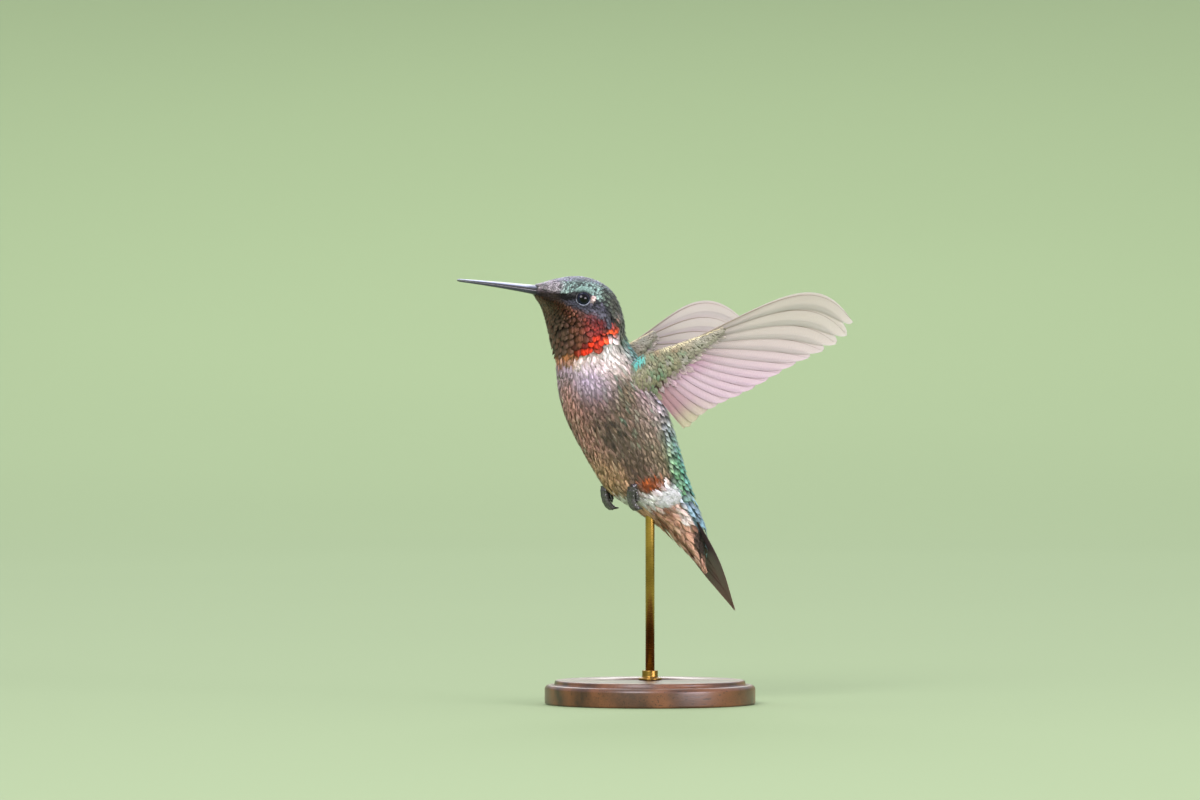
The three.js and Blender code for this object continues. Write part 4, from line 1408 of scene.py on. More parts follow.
@dataclass
class Eye:
    """One eye with its lids."""

    body: Body
    markings: Markings
    name: str
    side: int
    pupil: float = 0.55  # half angle, in radians
    iris: float = 0.86  # half angle
    bulge: float = 0.04  # how far its clear front stands out, as a share of its radius
    opening: float = 1.2  # radius of the opening between the lids
    rows: tuple[tuple[float, float, int], ...] = (
        (1.2, 0.34, 46), (1.36, 0.4, 48), (1.54, 0.46, 52), (1.74, 0.5, 54), (1.96, 0.55, 56),
    )
    seed: int = 5

    AT = np.array([-16.53, 4.75, 70.88])
    LOOK = np.array([-0.24, 0.965, 0.08])
    RADIUS = 1.5
    STATION, TURN = 3.12, 87  # the same place on the body

    @classmethod
    def seat(cls, side: int) -> tuple[Array, Array]:
        """The middle of an eye and the way it looks."""
        mirror = np.array([1, side, 1])
        return cls.AT * mirror, unit(cls.LOOK * mirror)

    def axes(self) -> tuple[Array, Array, Array, Array]:
        """The eye's middle, and the ways ahead, across and up."""
        middle, axis = self.seat(self.side)
        across = unit(np.cross(axis, [0, 0, 1]))
        return middle, axis, across, np.cross(across, axis)

    def around(self, turn: Array) -> Array:
        """Directions out from the eye's axis."""
        _, _, across, over = self.axes()
        return np.cos(turn)[..., None] * across + np.sin(turn)[..., None] * over

    def ball(self) -> Shell:
        """The eyeball, with its clear front bulging a little."""
        middle, axis, _, _ = self.axes()
        angle, turn = np.meshgrid(np.linspace(0.04, math.pi - 0.04, 40), circle(48), indexing="ij")
        radius = (self.RADIUS * (1 + self.bulge * smooth(1, 0.1, angle)))[..., None]
        way = np.cos(angle)[..., None] * axis + np.sin(angle)[..., None] * self.around(turn)
        points = middle + radius * way
        ends = middle + axis * self.RADIUS * (1 + self.bulge), middle - axis * self.RADIUS
        shell = closed(points, *ends).turned()
        angle = np.append(angle.ravel(), [0, math.pi])[:, None]
        # the iris is dark, tinted navy as a painted reflection of the sky
        iris = mix(ink("0e1730"), ink("0a1024"), smooth(self.pupil, self.iris, angle))
        colours = mix(iris, ink("020203"), smooth(self.pupil, self.pupil - 0.05, angle))
        shell.colours = mix(colours, ink("0c0a0b"), smooth(self.iris, self.iris + 0.06, angle))
        return shell

    def lids(self) -> Shell:
        """The naked rim of the lids, a rolled ring that hugs the eyeball, pale below."""
        middle, axis, _, _ = self.axes()
        around, sides, fat, flat = 72, 12, 0.11, 0.1
        turn, roll = circle(around), circle(sides)
        out = self.around(turn)
        height = math.sqrt(self.RADIUS**2 - self.opening**2) + 0.02
        centre = middle + axis * height + out * (self.opening + 0.04 * np.cos(2 * turn))[:, None]
        wave = (1 + 0.07 * np.cos(20 * turn))[:, None, None]
        points = centre[:, None] + out[:, None] * fat * np.cos(roll)[:, None] * wave
        points = (points + axis * flat * np.sin(roll)[:, None]).reshape(-1, 3)
        faces = (walls(around + 1, sides) % (around * sides))[:, [0, 3, 2, 1]]
        low = (smooth(0.1, -0.5, np.sin(turn)) * smooth(-1.05, -0.8, np.cos(turn)))[:, None]
        colours = np.repeat(mix(ink("101014"), ink("8d93a8"), low), sides, 0)
        shell = Shell(points, faces, colours=colours)
        return shell if self.side == LEFT else shell.turned()

    def lid_feathers(self) -> Shell:
        """Rings of the smallest feathers of all, outside the lids."""
        rng = np.random.default_rng(self.seed)
        middle, axis, _, _ = self.axes()
        leaf = FACE_VANE.leaf()
        u, v = leaf.across[None], leaf.along[None]
        _, by_a, by_b, _ = self.body.frame(np.array([self.STATION]), np.radians([self.TURN * -self.side]))
        parts, tones, spots = [], [], []
        rim = math.sqrt(self.RADIUS**2 - self.opening**2)
        for row, (start, length, count) in enumerate(self.rows):
            turn = 2 * np.pi * (np.arange(count) + 0.5 * row + rng.uniform(-0.2, 0.2, count)) / count
            out = self.around(turn)
            way = unit(out * 0.5 + np.array([0.75, 0, -0.25]) + 0.12 * rng.normal(size=(count, 3)))
            way = unit(way - dot(way, axis)[:, None] * axis * 0.9)
            aside = np.cross(axis, way)
            root = middle + axis * (rim + 0.02 - 0.13 * row) + out * start
            y = v * length * rng.uniform(0.85, 1.15, (count, 1))
            x = u * length * 0.3
            slope = dot(out, way)[:, None]
            fall = 0.06 - 0.42 * v * length * slope + 0.05 * (1 - u**2) + leaf.up[None] * 0.012
            flat = root[:, None] + way[:, None] * y[..., None] + aside[:, None] * x[..., None]
            parts.append(flat + axis * fall[..., None])
            da, db = change(by_a, by_b, (out * start + way * length * 0.6))
            station, turns = self.STATION + da, np.degrees(db) * -self.side + self.TURN
            colour = self.markings.colour(station, turns)
            low = smooth(-0.05, -0.5, np.sin(turn)) * (0.25, 0, 0, 0, 0)[row]
            colour = mix(colour, ink("b9bdcc"), low[:, None])
            dark = (0.75, 0.4, 0.15, 0, 0)[row] * (1 - low[:, None])
            tones.append(mix(colour, ink("121115"), dark) * rng.uniform(0.7, 1.3, (count, 1)))
            spots.append(unwrap(station, turns))
        points = np.concatenate(parts)
        colours = paint(Pattern.PLAIN, np.concatenate(tones), leaf, rng, 0.5, 0.1)
        x, y = (np.repeat(part * 0.5, len(points), 0) for part in (u, v))
        return feathers((points, x, y), leaf, colours, np.concatenate(spots), rng)

    def build(self) -> None:
        """The eyeball, its lids and their feathers, each a piece."""
        add_piece(f"eyeball_{self.name}", self.ball(), [EyeGloss().material()], "eye", f"eye_{self.name}")
        lid = Painted("eyelid", roughness=0.4, relief=0.02).material()
        add_piece(f"eyelids_{self.name}", self.lids(), [lid], GREY)
        add_piece(f"coat_eyelids_{self.name}", self.lid_feathers(), [DARK.material()], GREY)


# --- wings


@dataclass
class FlightFeather:
    """One quill feather. Its lines are functions of the share of its length."""

    shaft: Line  # places along the shaft, in the plane of the fan
    lead: Line  # edge of the web ahead of the shaft
    trail: Line  # edge of the web behind it
    layer: float  # how far out of the fan's plane it lies
    girth: float  # the shaft's radius at its root
    round_from: float  # share of its length where the tip starts to round off
    point: float  # 0.5 for a round tip, 1 for a sharp one
    colours: Sheet  # of the webs, by place along and across
    quill: Colour  # the shaft's colour


@dataclass(frozen=True)
class FanStyle:
    """How the feathers of a fan are meshed."""

    rows: int = 90  # barbs drawn along each web
    across: tuple[float, ...] = (-1.0, -0.8, -0.6, -0.4, -0.2, 0.0, 0.34, 0.67, 1.0)
    thickness: float = 0.022  # half a web's thickness
    sweep: float = 0.12  # how far along the shaft a barb ends from its foot, at the trailing edge
    furrow: float = 0.008  # how far every second barb stands up
    tuck: float = 0.12  # rise of the trailing web over its neighbour
    drop: float = 0.06  # sink of the leading web under its neighbour


def flight_shell(made: Sequence[FlightFeather], style: FanStyle, place: Space) -> Shell:
    """The shell of a fan of quill feathers: webs of finish 0 and shafts of finish 1.

    Args:
        made: the feathers.
        style: how they are meshed.
        place: puts (along, across, out) in space.

    Returns:
        One shell, each feather's sides on a strip of their own on the unwrap.
    """
    shells = []
    rows, columns = style.rows, len(style.across) - 1
    u = np.array(style.across)[None]
    faces, rim = two_sides(rows, columns)
    both = lambda grid: np.concatenate([grid.reshape(rim.size, -1), grid[~rim].reshape((~rim).sum(), -1)])
    for number, feather in enumerate(made):
        t = np.linspace(0, 1, rows + 1)[:, None] ** 0.92
        reach = np.abs(u) * np.ones_like(t)
        web = 0.12 + 0.88 * smooth(0, 0.1, t)
        past = np.clip((t - feather.round_from) / (1 - feather.round_from), 0, 1)
        web = web * np.maximum(1 - past**2, 0) ** feather.point
        sweep = np.where(u < 0, style.sweep, style.sweep * 0.45) * reach
        at = t + (1 - t) * sweep
        middle = feather.shaft(at)
        edge = np.where(u[..., None] < 0, feather.trail(at), feather.lead(at))
        flat = middle + (edge - middle) * (reach * web)[..., None]
        lift = np.where(u < 0, style.tuck * reach**1.5, -style.drop * reach)
        ridge = style.furrow * np.where(np.arange(rows + 1)[:, None] % 2, 1, -1) * (reach > 0.1) * (t > 0.04)
        out = feather.layer + lift * smooth(0, 0.2, t) + ridge
        size = np.where(rim, 0.0, style.thickness)
        over, below = (place(flat[..., 0], flat[..., 1], out + side * size) for side in (1, -1))
        points = np.concatenate([over.reshape(-1, 3), below[~rim]])
        span = np.linalg.norm(edge - middle, axis=-1) * reach * np.sign(u)
        length = np.linalg.norm(np.diff(feather.shaft(np.linspace(0, 1, 30)), axis=0), axis=-1).sum()
        local = both(np.stack([span, at * length + 60 * number], -1))
        colours = both(feather.colours(at, np.broadcast_to(u, at.shape)))
        sheet = both(np.stack([(u + 1) / 2 * np.ones_like(t), t * np.ones_like(u)], -1))
        strip = np.where(np.arange(len(faces)) < len(faces) // 2, 0.02, 0.47)[:, None]
        bake = sheet[faces]
        bake[..., 0] = (number + strip + 0.42 * bake[..., 0]) / len(made)
        bake[..., 1] = 0.01 + 0.98 * bake[..., 1]
        edge_rim = both(rim)[:, 0]
        shells.append(Shell(points, faces, colours, local, bake, edge_rim, np.zeros(len(faces), int)))
        shells.append(shaft_shell(feather, place, number, len(made)))
    return joined(shells)


def shaft_shell(feather: FlightFeather, place: Space, number: int, count: int) -> Shell:
    """A feather's tapering shaft, from its quill to near its tip."""
    steps, sides = 26, 8
    t = np.linspace(0, 0.985, steps)
    flat = feather.shaft(t)
    level = np.full(steps, feather.layer)
    path = place(flat[:, 0], flat[:, 1], level)
    normal = unit(place(flat[:, 0], flat[:, 1], level + 1) - path)
    shell = tube(path, feather.girth * (1 - 0.82 * t**0.7), sides, up=normal[steps // 2])
    place_on = np.append(np.repeat(t, sides), [0, 1])
    turn = np.append(np.tile(np.arange(sides) / sides, steps), [0.5, 0.5])
    tip = feather.colours(place_on[:, None], np.zeros((len(turn), 1)))[:, 0]
    shell.colours = mix(np.array(feather.quill), tip * 0.7, (0.7 * place_on**2)[:, None])
    shell.local = np.stack([0 * place_on, place_on * 30 + number * 60], -1)
    bake = np.stack([(number + 0.93 + 0.05 * turn) / count, 0.01 + 0.98 * place_on], -1)
    shell.bake = bake[np.maximum(shell.faces, 0)]
    shell.rim = np.zeros(len(shell.points), bool)
    shell.finish = np.ones(len(shell.faces), int)
    return shell


class WingPlane:
    """Wing coordinates: s from shoulder to tip, c back from the leading edge, n out of the under side."""

    shoulder = np.array([-5.8, 6.5, 58.3])
    along = np.array([0.909, 0.296, 0.292])
    outward = np.array([-0.208, 0.932, -0.296])
    dip = {LEFT: 0, RIGHT: 2}
    camber = 0.016
    camber_at = 1.5

    def __init__(self, side: int) -> None:
        """The plane of one wing."""
        mirror = np.array([1, side, 1])
        self.side = side
        self.origin = self.shoulder * mirror
        self.out = unit(self.outward * mirror)
        level = unit(self.along * mirror)
        self.reach = turned_about(level, self.out, side * math.radians(self.dip[side]))
        self.down = unit(np.cross(self.out, self.reach)) * side

    def place(self, s: Array, c: Array, n: Array) -> Array:
        """The points at wing coordinates."""
        n = n + self.camber * (c - self.camber_at) ** 2
        return self.origin + s[..., None] * self.reach + c[..., None] * self.down + n[..., None] * self.out


class ArmFace(Surface):
    """One face of a wing's arm and hand, for its coverts.

    The first coordinate runs round from the leading edge at 0 over the crest at pi / 2 and back, and
    the second is the wing's s.
    """

    web = 0.16

    def __init__(self, plane: WingPlane, arm: Array, face: int) -> None:
        """The under side (face 1) or the upper side (face -1)."""
        self.plane, self.arm, self.face = plane, arm, face
        self.facing = float(-face * plane.side)

    def point(self, a: Array, b: Array) -> Array:
        """The points at coordinates a and b."""
        middle, chord, thick = (np.interp(b, self.arm[:, 0], self.arm[:, i]) for i in (1, 2, 3))
        front = a < math.pi / 2
        x = np.where(front, -np.cos(np.minimum(a, math.pi / 2)), a - math.pi / 2)
        behind = self.web + (thick - self.web) * (1 - smooth(0, 1.05, x))
        n = np.where(front, thick * np.sin(a), behind)
        return self.plane.place(b, middle + chord * x, self.face * n)


@dataclass
class Wing:
    """One wing: its quill feathers, its coverts and its arm."""

    name: str
    side: int
    seed: int = 21
    elbow: Pair = (0.6, 2.4)  # where the innermost quill starts, in the wing's s and c
    wrist: Pair = (4.6, -0.9)  # where the quills of arm and hand meet
    fingertip: Pair = (10.8, -3.0)  # where the outermost quill starts
    shaft_ahead: float = 0.4  # a shaft's shift towards the leading edge of its feather
    overlap: float = 1.5  # reach of a trailing web, for the gap that it covers

    SECONDARY_TIPS = [(4.9, 12), (6.2, 11.9), (7.7, 11.1), (9.5, 10.4), (11.5, 10), (13.7, 9.6)]
    PRIMARY_TIPS = [
        (16.2, 9.4), (18.8, 9), (21.5, 8.4), (24.2, 7.8), (27, 7.2),
        (29.9, 6.8), (32.7, 6.4), (35.4, 5.9), (37.7, 5), (39.3, 3),
    ]
    # how far a quill bows along its length, and how sharply, by place in the fan
    BEND = [
        (0, -0.02), (0.15, -0.12), (0.3, -0.25), (0.45, -0.24),
        (0.6, -0.14), (0.75, 0.08), (0.9, 0.3), (1, 0.42),
    ]
    HOOK = [(0, 1), (0.6, 1.2), (0.8, 3), (1, 4)]
    ARM = np.array([  # s, c, half chord, half thickness
        (-3.4, 2.4, 2.2, 1.1), (-1, 1.9, 3.9, 1.9), (1.6, 1, 4.2, 1.85), (4, 0.5, 3.6, 1.5),
        (7, -0.3, 2.7, 1.15), (11, -1.4, 1.8, 0.85), (15, -2.5, 0.95, 0.62), (17.6, -3.25, 0.5, 0.45),
    ])

    def __post_init__(self) -> None:
        """Sets out the wing's plane."""
        self.plane = WingPlane(self.side)
        self.tips = np.array(self.SECONDARY_TIPS + self.PRIMARY_TIPS)
        self.rng = np.random.default_rng(self.seed + self.side)

    def column(self, q: int, t: Array) -> Array:
        """Places along column q of the fan. Odd ones are feathers' middles, even ones the lines between."""
        last = 2 * len(self.tips)
        wrist_at = 2 * len(self.SECONDARY_TIPS)
        starts = zip(self.elbow, self.wrist, self.fingertip)
        base = np.array([np.interp(q, [0, wrist_at, last], v) for v in starts])
        inner = self.tips[max(math.ceil(q / 2) - 1, 0)]
        outer = self.tips[min(q // 2, len(self.tips) - 1)]
        ds, dc = (inner + outer) / 2 - base
        bend, hook = (along_line(q / last, stops) for stops in (self.BEND, self.HOOK))
        rise = bend * t * (1 - np.abs(t) ** hook)
        return np.stack([base[0] + ds * t + dc * rise, base[1] + dc * t - ds * rise], -1)

    def web_colours(self, number: int) -> Sheet:
        """The web colours of a quill feather, by its number from the body."""
        share = np.array(number / (len(self.tips) - 1))
        dim = 0.87 if self.side == LEFT else 0.76  # painted shade: the webs are dimmed, the far right wing more than the near one
        pale = dim * mix(ink("bda3b0"), ink("b5ada4"), smooth(0.55, 0.95, share))
        foot = dim * mix(ink("a4708f"), ink("9f9492"), smooth(0.5, 0.85, share))
        inner = float(smooth(0.4, 0.08, share))
        rusty, olive = ink("80575a"), ink("94906a")

        def colours(t: Array, u: Array) -> Array:
            """The colours at places along and across."""
            t, u = t[..., None], u[..., None]
            web = mix(foot, pale, smooth(0.12, 0.5, t))
            web = mix(web, mix(rusty, olive, smooth(0.6, 0.95, t)), inner * 0.9)
            beside = np.exp(-((u - 0.15) ** 2) / 0.05)
            web = mix(web, ink("96707f"), (0.55 - 0.3 * share) * beside * smooth(1, 0.6, t))
            return np.clip(web * (1 - 0.08 * smooth(0.85, 1, np.abs(u))), 0, 0.95)

        return colours

    def quill(self, k: int) -> FlightFeather:
        """The quill feather of number k from the body."""
        share = k / (len(self.tips) - 1)

        def shaft(t: Array) -> Array:
            """The shaft, ahead of the feather's middle but ending at its tip."""
            ahead = self.shaft_ahead * (1 - np.clip(t, 0, 1) ** 4)
            return mix(self.column(2 * k + 1, t), self.column(2 * k + 2, t), ahead[..., None])

        def lead(t: Array) -> Array:
            """The leading edge, a little under the next feather out."""
            return mix(shaft(t), self.column(2 * k + 2, t), 1.15 if k + 1 < len(self.tips) else 1)

        def trail(t: Array) -> Array:
            """The trailing edge, over the next feather in."""
            return mix(shaft(t), self.column(2 * k, t), self.overlap if k else 1)

        girth, round_from = float(mix(0.1, 0.17, share)), float(mix(0.93, 0.84, share))
        tone = srgb("5f4350") if share < 0.65 else srgb("857a6c")
        return FlightFeather(shaft, lead, trail, 0, girth, round_from, 0.45, self.web_colours(k), tone)

    def arm_skin(self) -> Shell:
        """The skin of the arm and hand, an oval tube under the coverts."""
        rings, sides, depth = 40, 20, 0.22
        s, c, chord, thick = through(self.ARM, np.linspace(0, 0.93, rings)).T[..., None]
        turn = circle(sides)
        hind = np.where(np.cos(turn) > 0, 0.62, 1.0)
        across = c + (chord - depth) * hind * np.cos(turn)
        return closed(self.plane.place(s + 0 * across, across, np.maximum(thick - depth, 0.2) * np.sin(turn)))

    def covert_roots(self, surface: ArmFace) -> tuple[Roots, Array]:
        """Roots of the coverts on one face, and how far back each one is, from 0 to 1."""
        count, hindmost = 16000, math.pi / 2 + 0.9
        a, s = self.rng.uniform(0, hindmost, count), self.rng.uniform(-3.2, 15.8, count)
        back = a / hindmost
        length = along_line(back, [(0, 0.6), (0.4, 0.95), (0.75, 1.4), (0.9, 1.9), (1, 2.3)])
        length = length * np.interp(s, [-3, 8, 15.8], [1.05, 1, 0.6])
        keep = chosen_roots(surface, (a, s), length, 0.97, 0.4, self.rng)
        a, s, back = a[keep], s[keep], back[keep]
        count = len(keep)
        size = length[keep] * self.rng.uniform(0.85, 1.15, count)
        lean = np.interp(s, [-3, 0, 5, 10, 15.8], [-14, 4, 30, 48, 64]) - 12 * (1 - back)
        heading = np.radians(lean + self.rng.normal(0, 8, count)) * surface.facing
        return Roots(a, s, heading, size, size * 0.48, self.rng.uniform(0.02, 0.08, count)), back

    def covert_colours(self, back: Array, s: Array, places: Array) -> Array:
        """Each covert's colour: mottled olive, green and brown, with a cream leading edge."""
        count = len(back)
        base = np.tile(ink("98957a"), (count, 1))
        for colour, size, seed, low, high, most in (
            ("6a9a7c", 1.8, 8, -0.1, 0.6, 0.7),
            ("a08a6c", 1.5, 15, 0, 0.6, 0.7),
            ("585242", 1.2, 29, 0.15, 0.7, 0.6),
            ("cfc8cd", 1.4, 23, 0.15, 0.7, 0.7),
        ):
            spots = smooth(low, high, speckle(places, size, seed)) * most
            base = mix(base, ink(colour), spots[:, None])
        hind = smooth(0.72, 0.95, back) * smooth(1.5, 4, s)
        front = smooth(0.3, 0.14, back) * smooth(1.5, 0.6, np.abs(s))
        edge = smooth(0.16, 0.05, back) * smooth(3, 5.5, s)
        hand = smooth(5, 12, s)
        zones = {"c3a3b4": 0.85 * hind, "bbb6aa": 0.75 * hand, "6ccfca": 0.9 * front, "e2d8b4": edge}
        for colour, share in zones.items():
            base = mix(base, ink(colour), share[:, None])
        return np.clip(base * self.rng.uniform(0.85, 1.15, (count, 1)), 0.01, 0.9)

    def coverts(self) -> Shell:
        """The coverts of both faces of the arm, as leaves with loose barbs over them."""
        shells = []
        for face in (1, -1):
            surface = ArmFace(self.plane, self.ARM, face)
            roots, back = self.covert_roots(surface)
            base = self.covert_colours(back, roots.b, surface.point(roots.a, roots.b))
            spots = np.stack([0.06 + 0.88 * (roots.b + 3.4) / 19.4, 0.5 + face * (0.04 + 0.4 * back)], -1)
            for shape, streak, more in ((COVERT_VANE, 0.12, 0), (FINE_LOCK, 0.25, 0.05)):
                roots.rise = roots.rise + more
                laid = lay(surface, roots, shape, 0.1, 0.014)
                leaf = shape.leaf()
                colours = paint(Pattern.PLAIN, base, leaf, self.rng, 0.75, streak).clip(*TONES)
                shells.append(feathers(laid, leaf, colours, spots, self.rng))
        return joined(shells)

    def build(self) -> None:
        """The wing's quill feathers and coverts, each kind a piece."""
        split = len(self.SECONDARY_TIPS)
        kinds = {"secondaries": range(split), "primaries": range(split, len(self.tips))}
        materials = [WEB.material(), Painted("flight_shaft", roughness=0.4, relief=0.01).material()]
        for kind, chosen in kinds.items():
            made = [self.quill(k) for k in chosen]
            shell = flight_shell(made, FanStyle(), self.plane.place)
            add_piece(f"{kind}_{self.name}", shell, materials, "flight_feather", f"wing_{self.name}_{kind}")
        add_piece(f"coat_wing_{self.name}", self.coverts(), [COVERTS.material()], GREEN)


# --- tail


@dataclass
class Tail:
    """The tail: five quill feathers a side, nearly closed, dark brown."""

    root: Pair = (2.6, 40.6)  # where it starts, in X and Z
    tip: Pair = (17.6, 16.4)  # where it runs to
    lengths: tuple[float, ...] = (20.5, 22.8, 25.4, 27.7, 28.6)  # from the middle outwards
    tip_across: tuple[float, ...] = (0.25, 0.4, 0.45, 0.35, 0.15)  # of each tip from the middle
    base_half: float = 1.5  # of the outermost root from the middle
    bulge: Pair = (3.0, 4.2)  # how far the outermost feather bows out, left and right
    bow: tuple[float, ...] = (0.0, 0.36, 0.66, 0.92, 1.07, 1.06, 0.8, 0.38, 0.0)
    step: float = 0.11  # how far each feather lies under the last
    half_width: float = 1.2  # reach of an inner web near its root
    fill: float = 1.1  # how much farther it reaches near its tip

    def place(self, s: Array, c: Array, n: Array) -> Array:
        """The points at s down the tail, c across it and n out of its upper side."""
        down = unit(np.array([self.tip[0] - self.root[0], 0, self.tip[1] - self.root[1]]))
        out = np.array([-down[2], 0, down[0]])
        start = np.array([self.root[0], 0, self.root[1]])
        return start + s[..., None] * down + c[..., None] * ACROSS + n[..., None] * out

    def outward(self, out: float, tip: float, t: Array, side: int) -> Array:
        """How far from the middle a line is whose root lies at a share out of the base."""
        grown = through(np.array(self.bow)[:, None], np.ravel(t))[:, 0].reshape(np.shape(t))
        return mix(self.base_half * out, tip, t) + grown * self.bulge[side == RIGHT] * out

    def feather(self, q: int, side: int) -> FlightFeather:
        """Feather q of one side, counted from the middle."""
        out = (q + 0.5) / len(self.lengths)

        def line(shift: float, more: float = 0.0) -> Line:
            """A line beside the shaft, kept between the middle and the outer edge."""

            def places(t: Array) -> Array:
                """The places along it."""
                held = np.clip(t, 0, 1)
                across = self.outward(out, self.tip_across[q], held, side)
                across = across + shift + more * smooth(0.45, 0.9, held)
                limit = self.outward(1, self.tip_across[-1] + 0.1, held, side)
                return np.stack([self.lengths[q] * t, side * np.clip(across, -0.25, limit)], -1)

            return places

        lead, trail = line(0.5 * self.half_width), line(-self.half_width, -self.fill)
        layer = 0.2 - self.step * q - (0.05 if side == RIGHT else 0.0)
        colours, tone = self.web_colours(q), srgb("1c1310")
        return FlightFeather(line(0), lead, trail, layer, 0.15, 0.9, 0.5, colours, tone)

    def web_colours(self, q: int) -> Sheet:
        """The web colours of feather q: dark purplish brown, the middle pair greener."""
        dark, warm, green = (ink(text) for text in ("645159", "84564e", "44604b"))

        def colours(t: Array, u: Array) -> Array:
            """The colours at places along and across."""
            t, u = t[..., None], u[..., None]
            web = mix(dark, warm, 0.8 * smooth(0.5, 1, t))
            web = mix(web, green, 0.2 if q == 0 else 0)
            # darker on the inner half of each web, with faint stripes; the pale band at the outer edge is a
            # painted highlight
            tone = 0.6 + 0.6 * smooth(-0.12, 0.12, u) + 0.25 * np.sin(16 * u) + 0.7 * smooth(0.7, 1, u)
            return np.clip(web * tone, 0, 0.9)

        return colours

    def build(self) -> None:
        """Both sides of the tail, each a piece."""
        style = FanStyle(rows=80, sweep=0.1, furrow=0.01, tuck=0.04, drop=0.03)
        materials = [TAIL_WEB.material(), Painted("tail_shaft", roughness=0.35, relief=0.01).material()]
        for name, side in SIDES.items():
            made = [self.feather(q, side) for q in range(len(self.lengths))]
            shell = flight_shell(made, style, self.place)
            add_piece(f"rectrices_{name}", shell, materials, "flight_feather", f"tail_{name}")


# --- bill


@dataclass
class Bill:
    """The bill: two slim mandibles with a ridge, a groove and a slit nostril."""

    length: float = 15.1
    pitch: float = 7.1  # degrees that it points up
    foot: Pair = (-23.65, 72.52)  # the middle of its foot, in X and Z
    depth: float = 1.58  # height at the foot
    width: float = 1.75  # at the foot
    tip_depth: float = 0.42
    tip_width: float = 0.5
    droop: float = 0.35  # how far it bends down
    gape: float = 0.05  # gap between the mandibles
    rings: int = 90
    sides: int = 33  # steps round half of it

    HUES_WITH_HIGHLIGHT = {  # by height over the cut, from 0 to 1. The upper mandible's pale blue-grey band along its side is a painted highlight, the sky's reflection
        1: {0: "1b1b23", 0.25: "2c2d39", 0.45: "878ea6", 0.7: "c6cee2", 0.92: "98a0b8", 1: "484b5a"},
        -1: {0: "15151b", 0.4: "2f313d", 0.7: "3d4050", 1: "1d1d25"},
    }

    def mandible(self, half: int) -> Shell:
        """The upper (half 1) or the lower mandible (half -1)."""
        pitch = math.radians(self.pitch)
        inside = 0.04  # how far it runs into the head, as a share of its length
        t = np.linspace(0, 1, self.rings) ** 0.9 * (1 + inside) - inside
        held = np.clip(t, 0, 1)
        end = np.sqrt(np.clip(1 - ((held - 0.95) / 0.05).clip(0, 1) ** 2, 0.02, 1))
        deep = mix(self.depth, self.tip_depth, held**0.8) / 2 * end
        wide = mix(self.width, self.tip_width, held**0.7) / 2 * end
        x = self.foot[0] - self.length * t * math.cos(pitch)
        z = self.foot[1] + self.length * t * math.sin(pitch) - self.droop * held**2
        turn = np.linspace(0, math.pi, self.sides)
        across, over = np.cos(turn), np.sin(turn)
        off = np.abs(turn - math.pi / 2)
        bump = lambda at, size: np.exp(-(((off - at) / size) ** 2))
        shape = 1 + (0.05 * bump(0, 0.22) - 0.06 * bump(0.75, 0.11) if half > 0 else 0 * turn)
        slit = np.exp(-(((held[:, None] - 0.05) / 0.03) ** 2)) * bump(0.98, 0.13) * (half > 0)
        y = wide[:, None] * across * (1 + 0.06 * half * np.exp(-(over**2) / 0.02)) * (1 - 0.2 * slit)
        lift = self.gape / 2 + deep[:, None] * over**0.92 * shape
        points = np.stack([x[:, None] + 0 * y, y, z[:, None] + half * lift], -1)
        shell = closed(points)
        # the bill's dark horn with its painted highlight, by height
        hues_with_highlight = self.HUES_WITH_HIGHLIGHT[half]
        channels = zip(*map(srgb, hues_with_highlight.values()))
        colour = np.stack([np.interp(over, list(hues_with_highlight), channel) for channel in channels], -1)
        # painted shade: darker at the foot and towards the tip, and darker still in the nostril slit
        shade = smooth(-0.02, 0.1, held) * mix(1, 0.6, smooth(0.75, 1, held))
        colours = colour[None] * (0.35 + 0.65 * shade[:, None, None]) * (1 - 0.8 * slit[..., None])
        shell.colours = np.concatenate([colours.reshape(-1, 3), colours[0, :1], colours[-1, -1:]])
        return shell if half > 0 else shell.turned()

    def build(self) -> None:
        """Both mandibles."""
        horn = Painted("bill_horn", roughness=0.3, coat=0.3, grain=1900, relief=0.008, contrast=0.25)
        material = horn.material()
        for name, half in (("upper", 1), ("lower", -1)):
            add_piece(f"mandible_{name}", self.mandible(half), [material], "bill", f"bill_{name}")


# --- feet and thighs


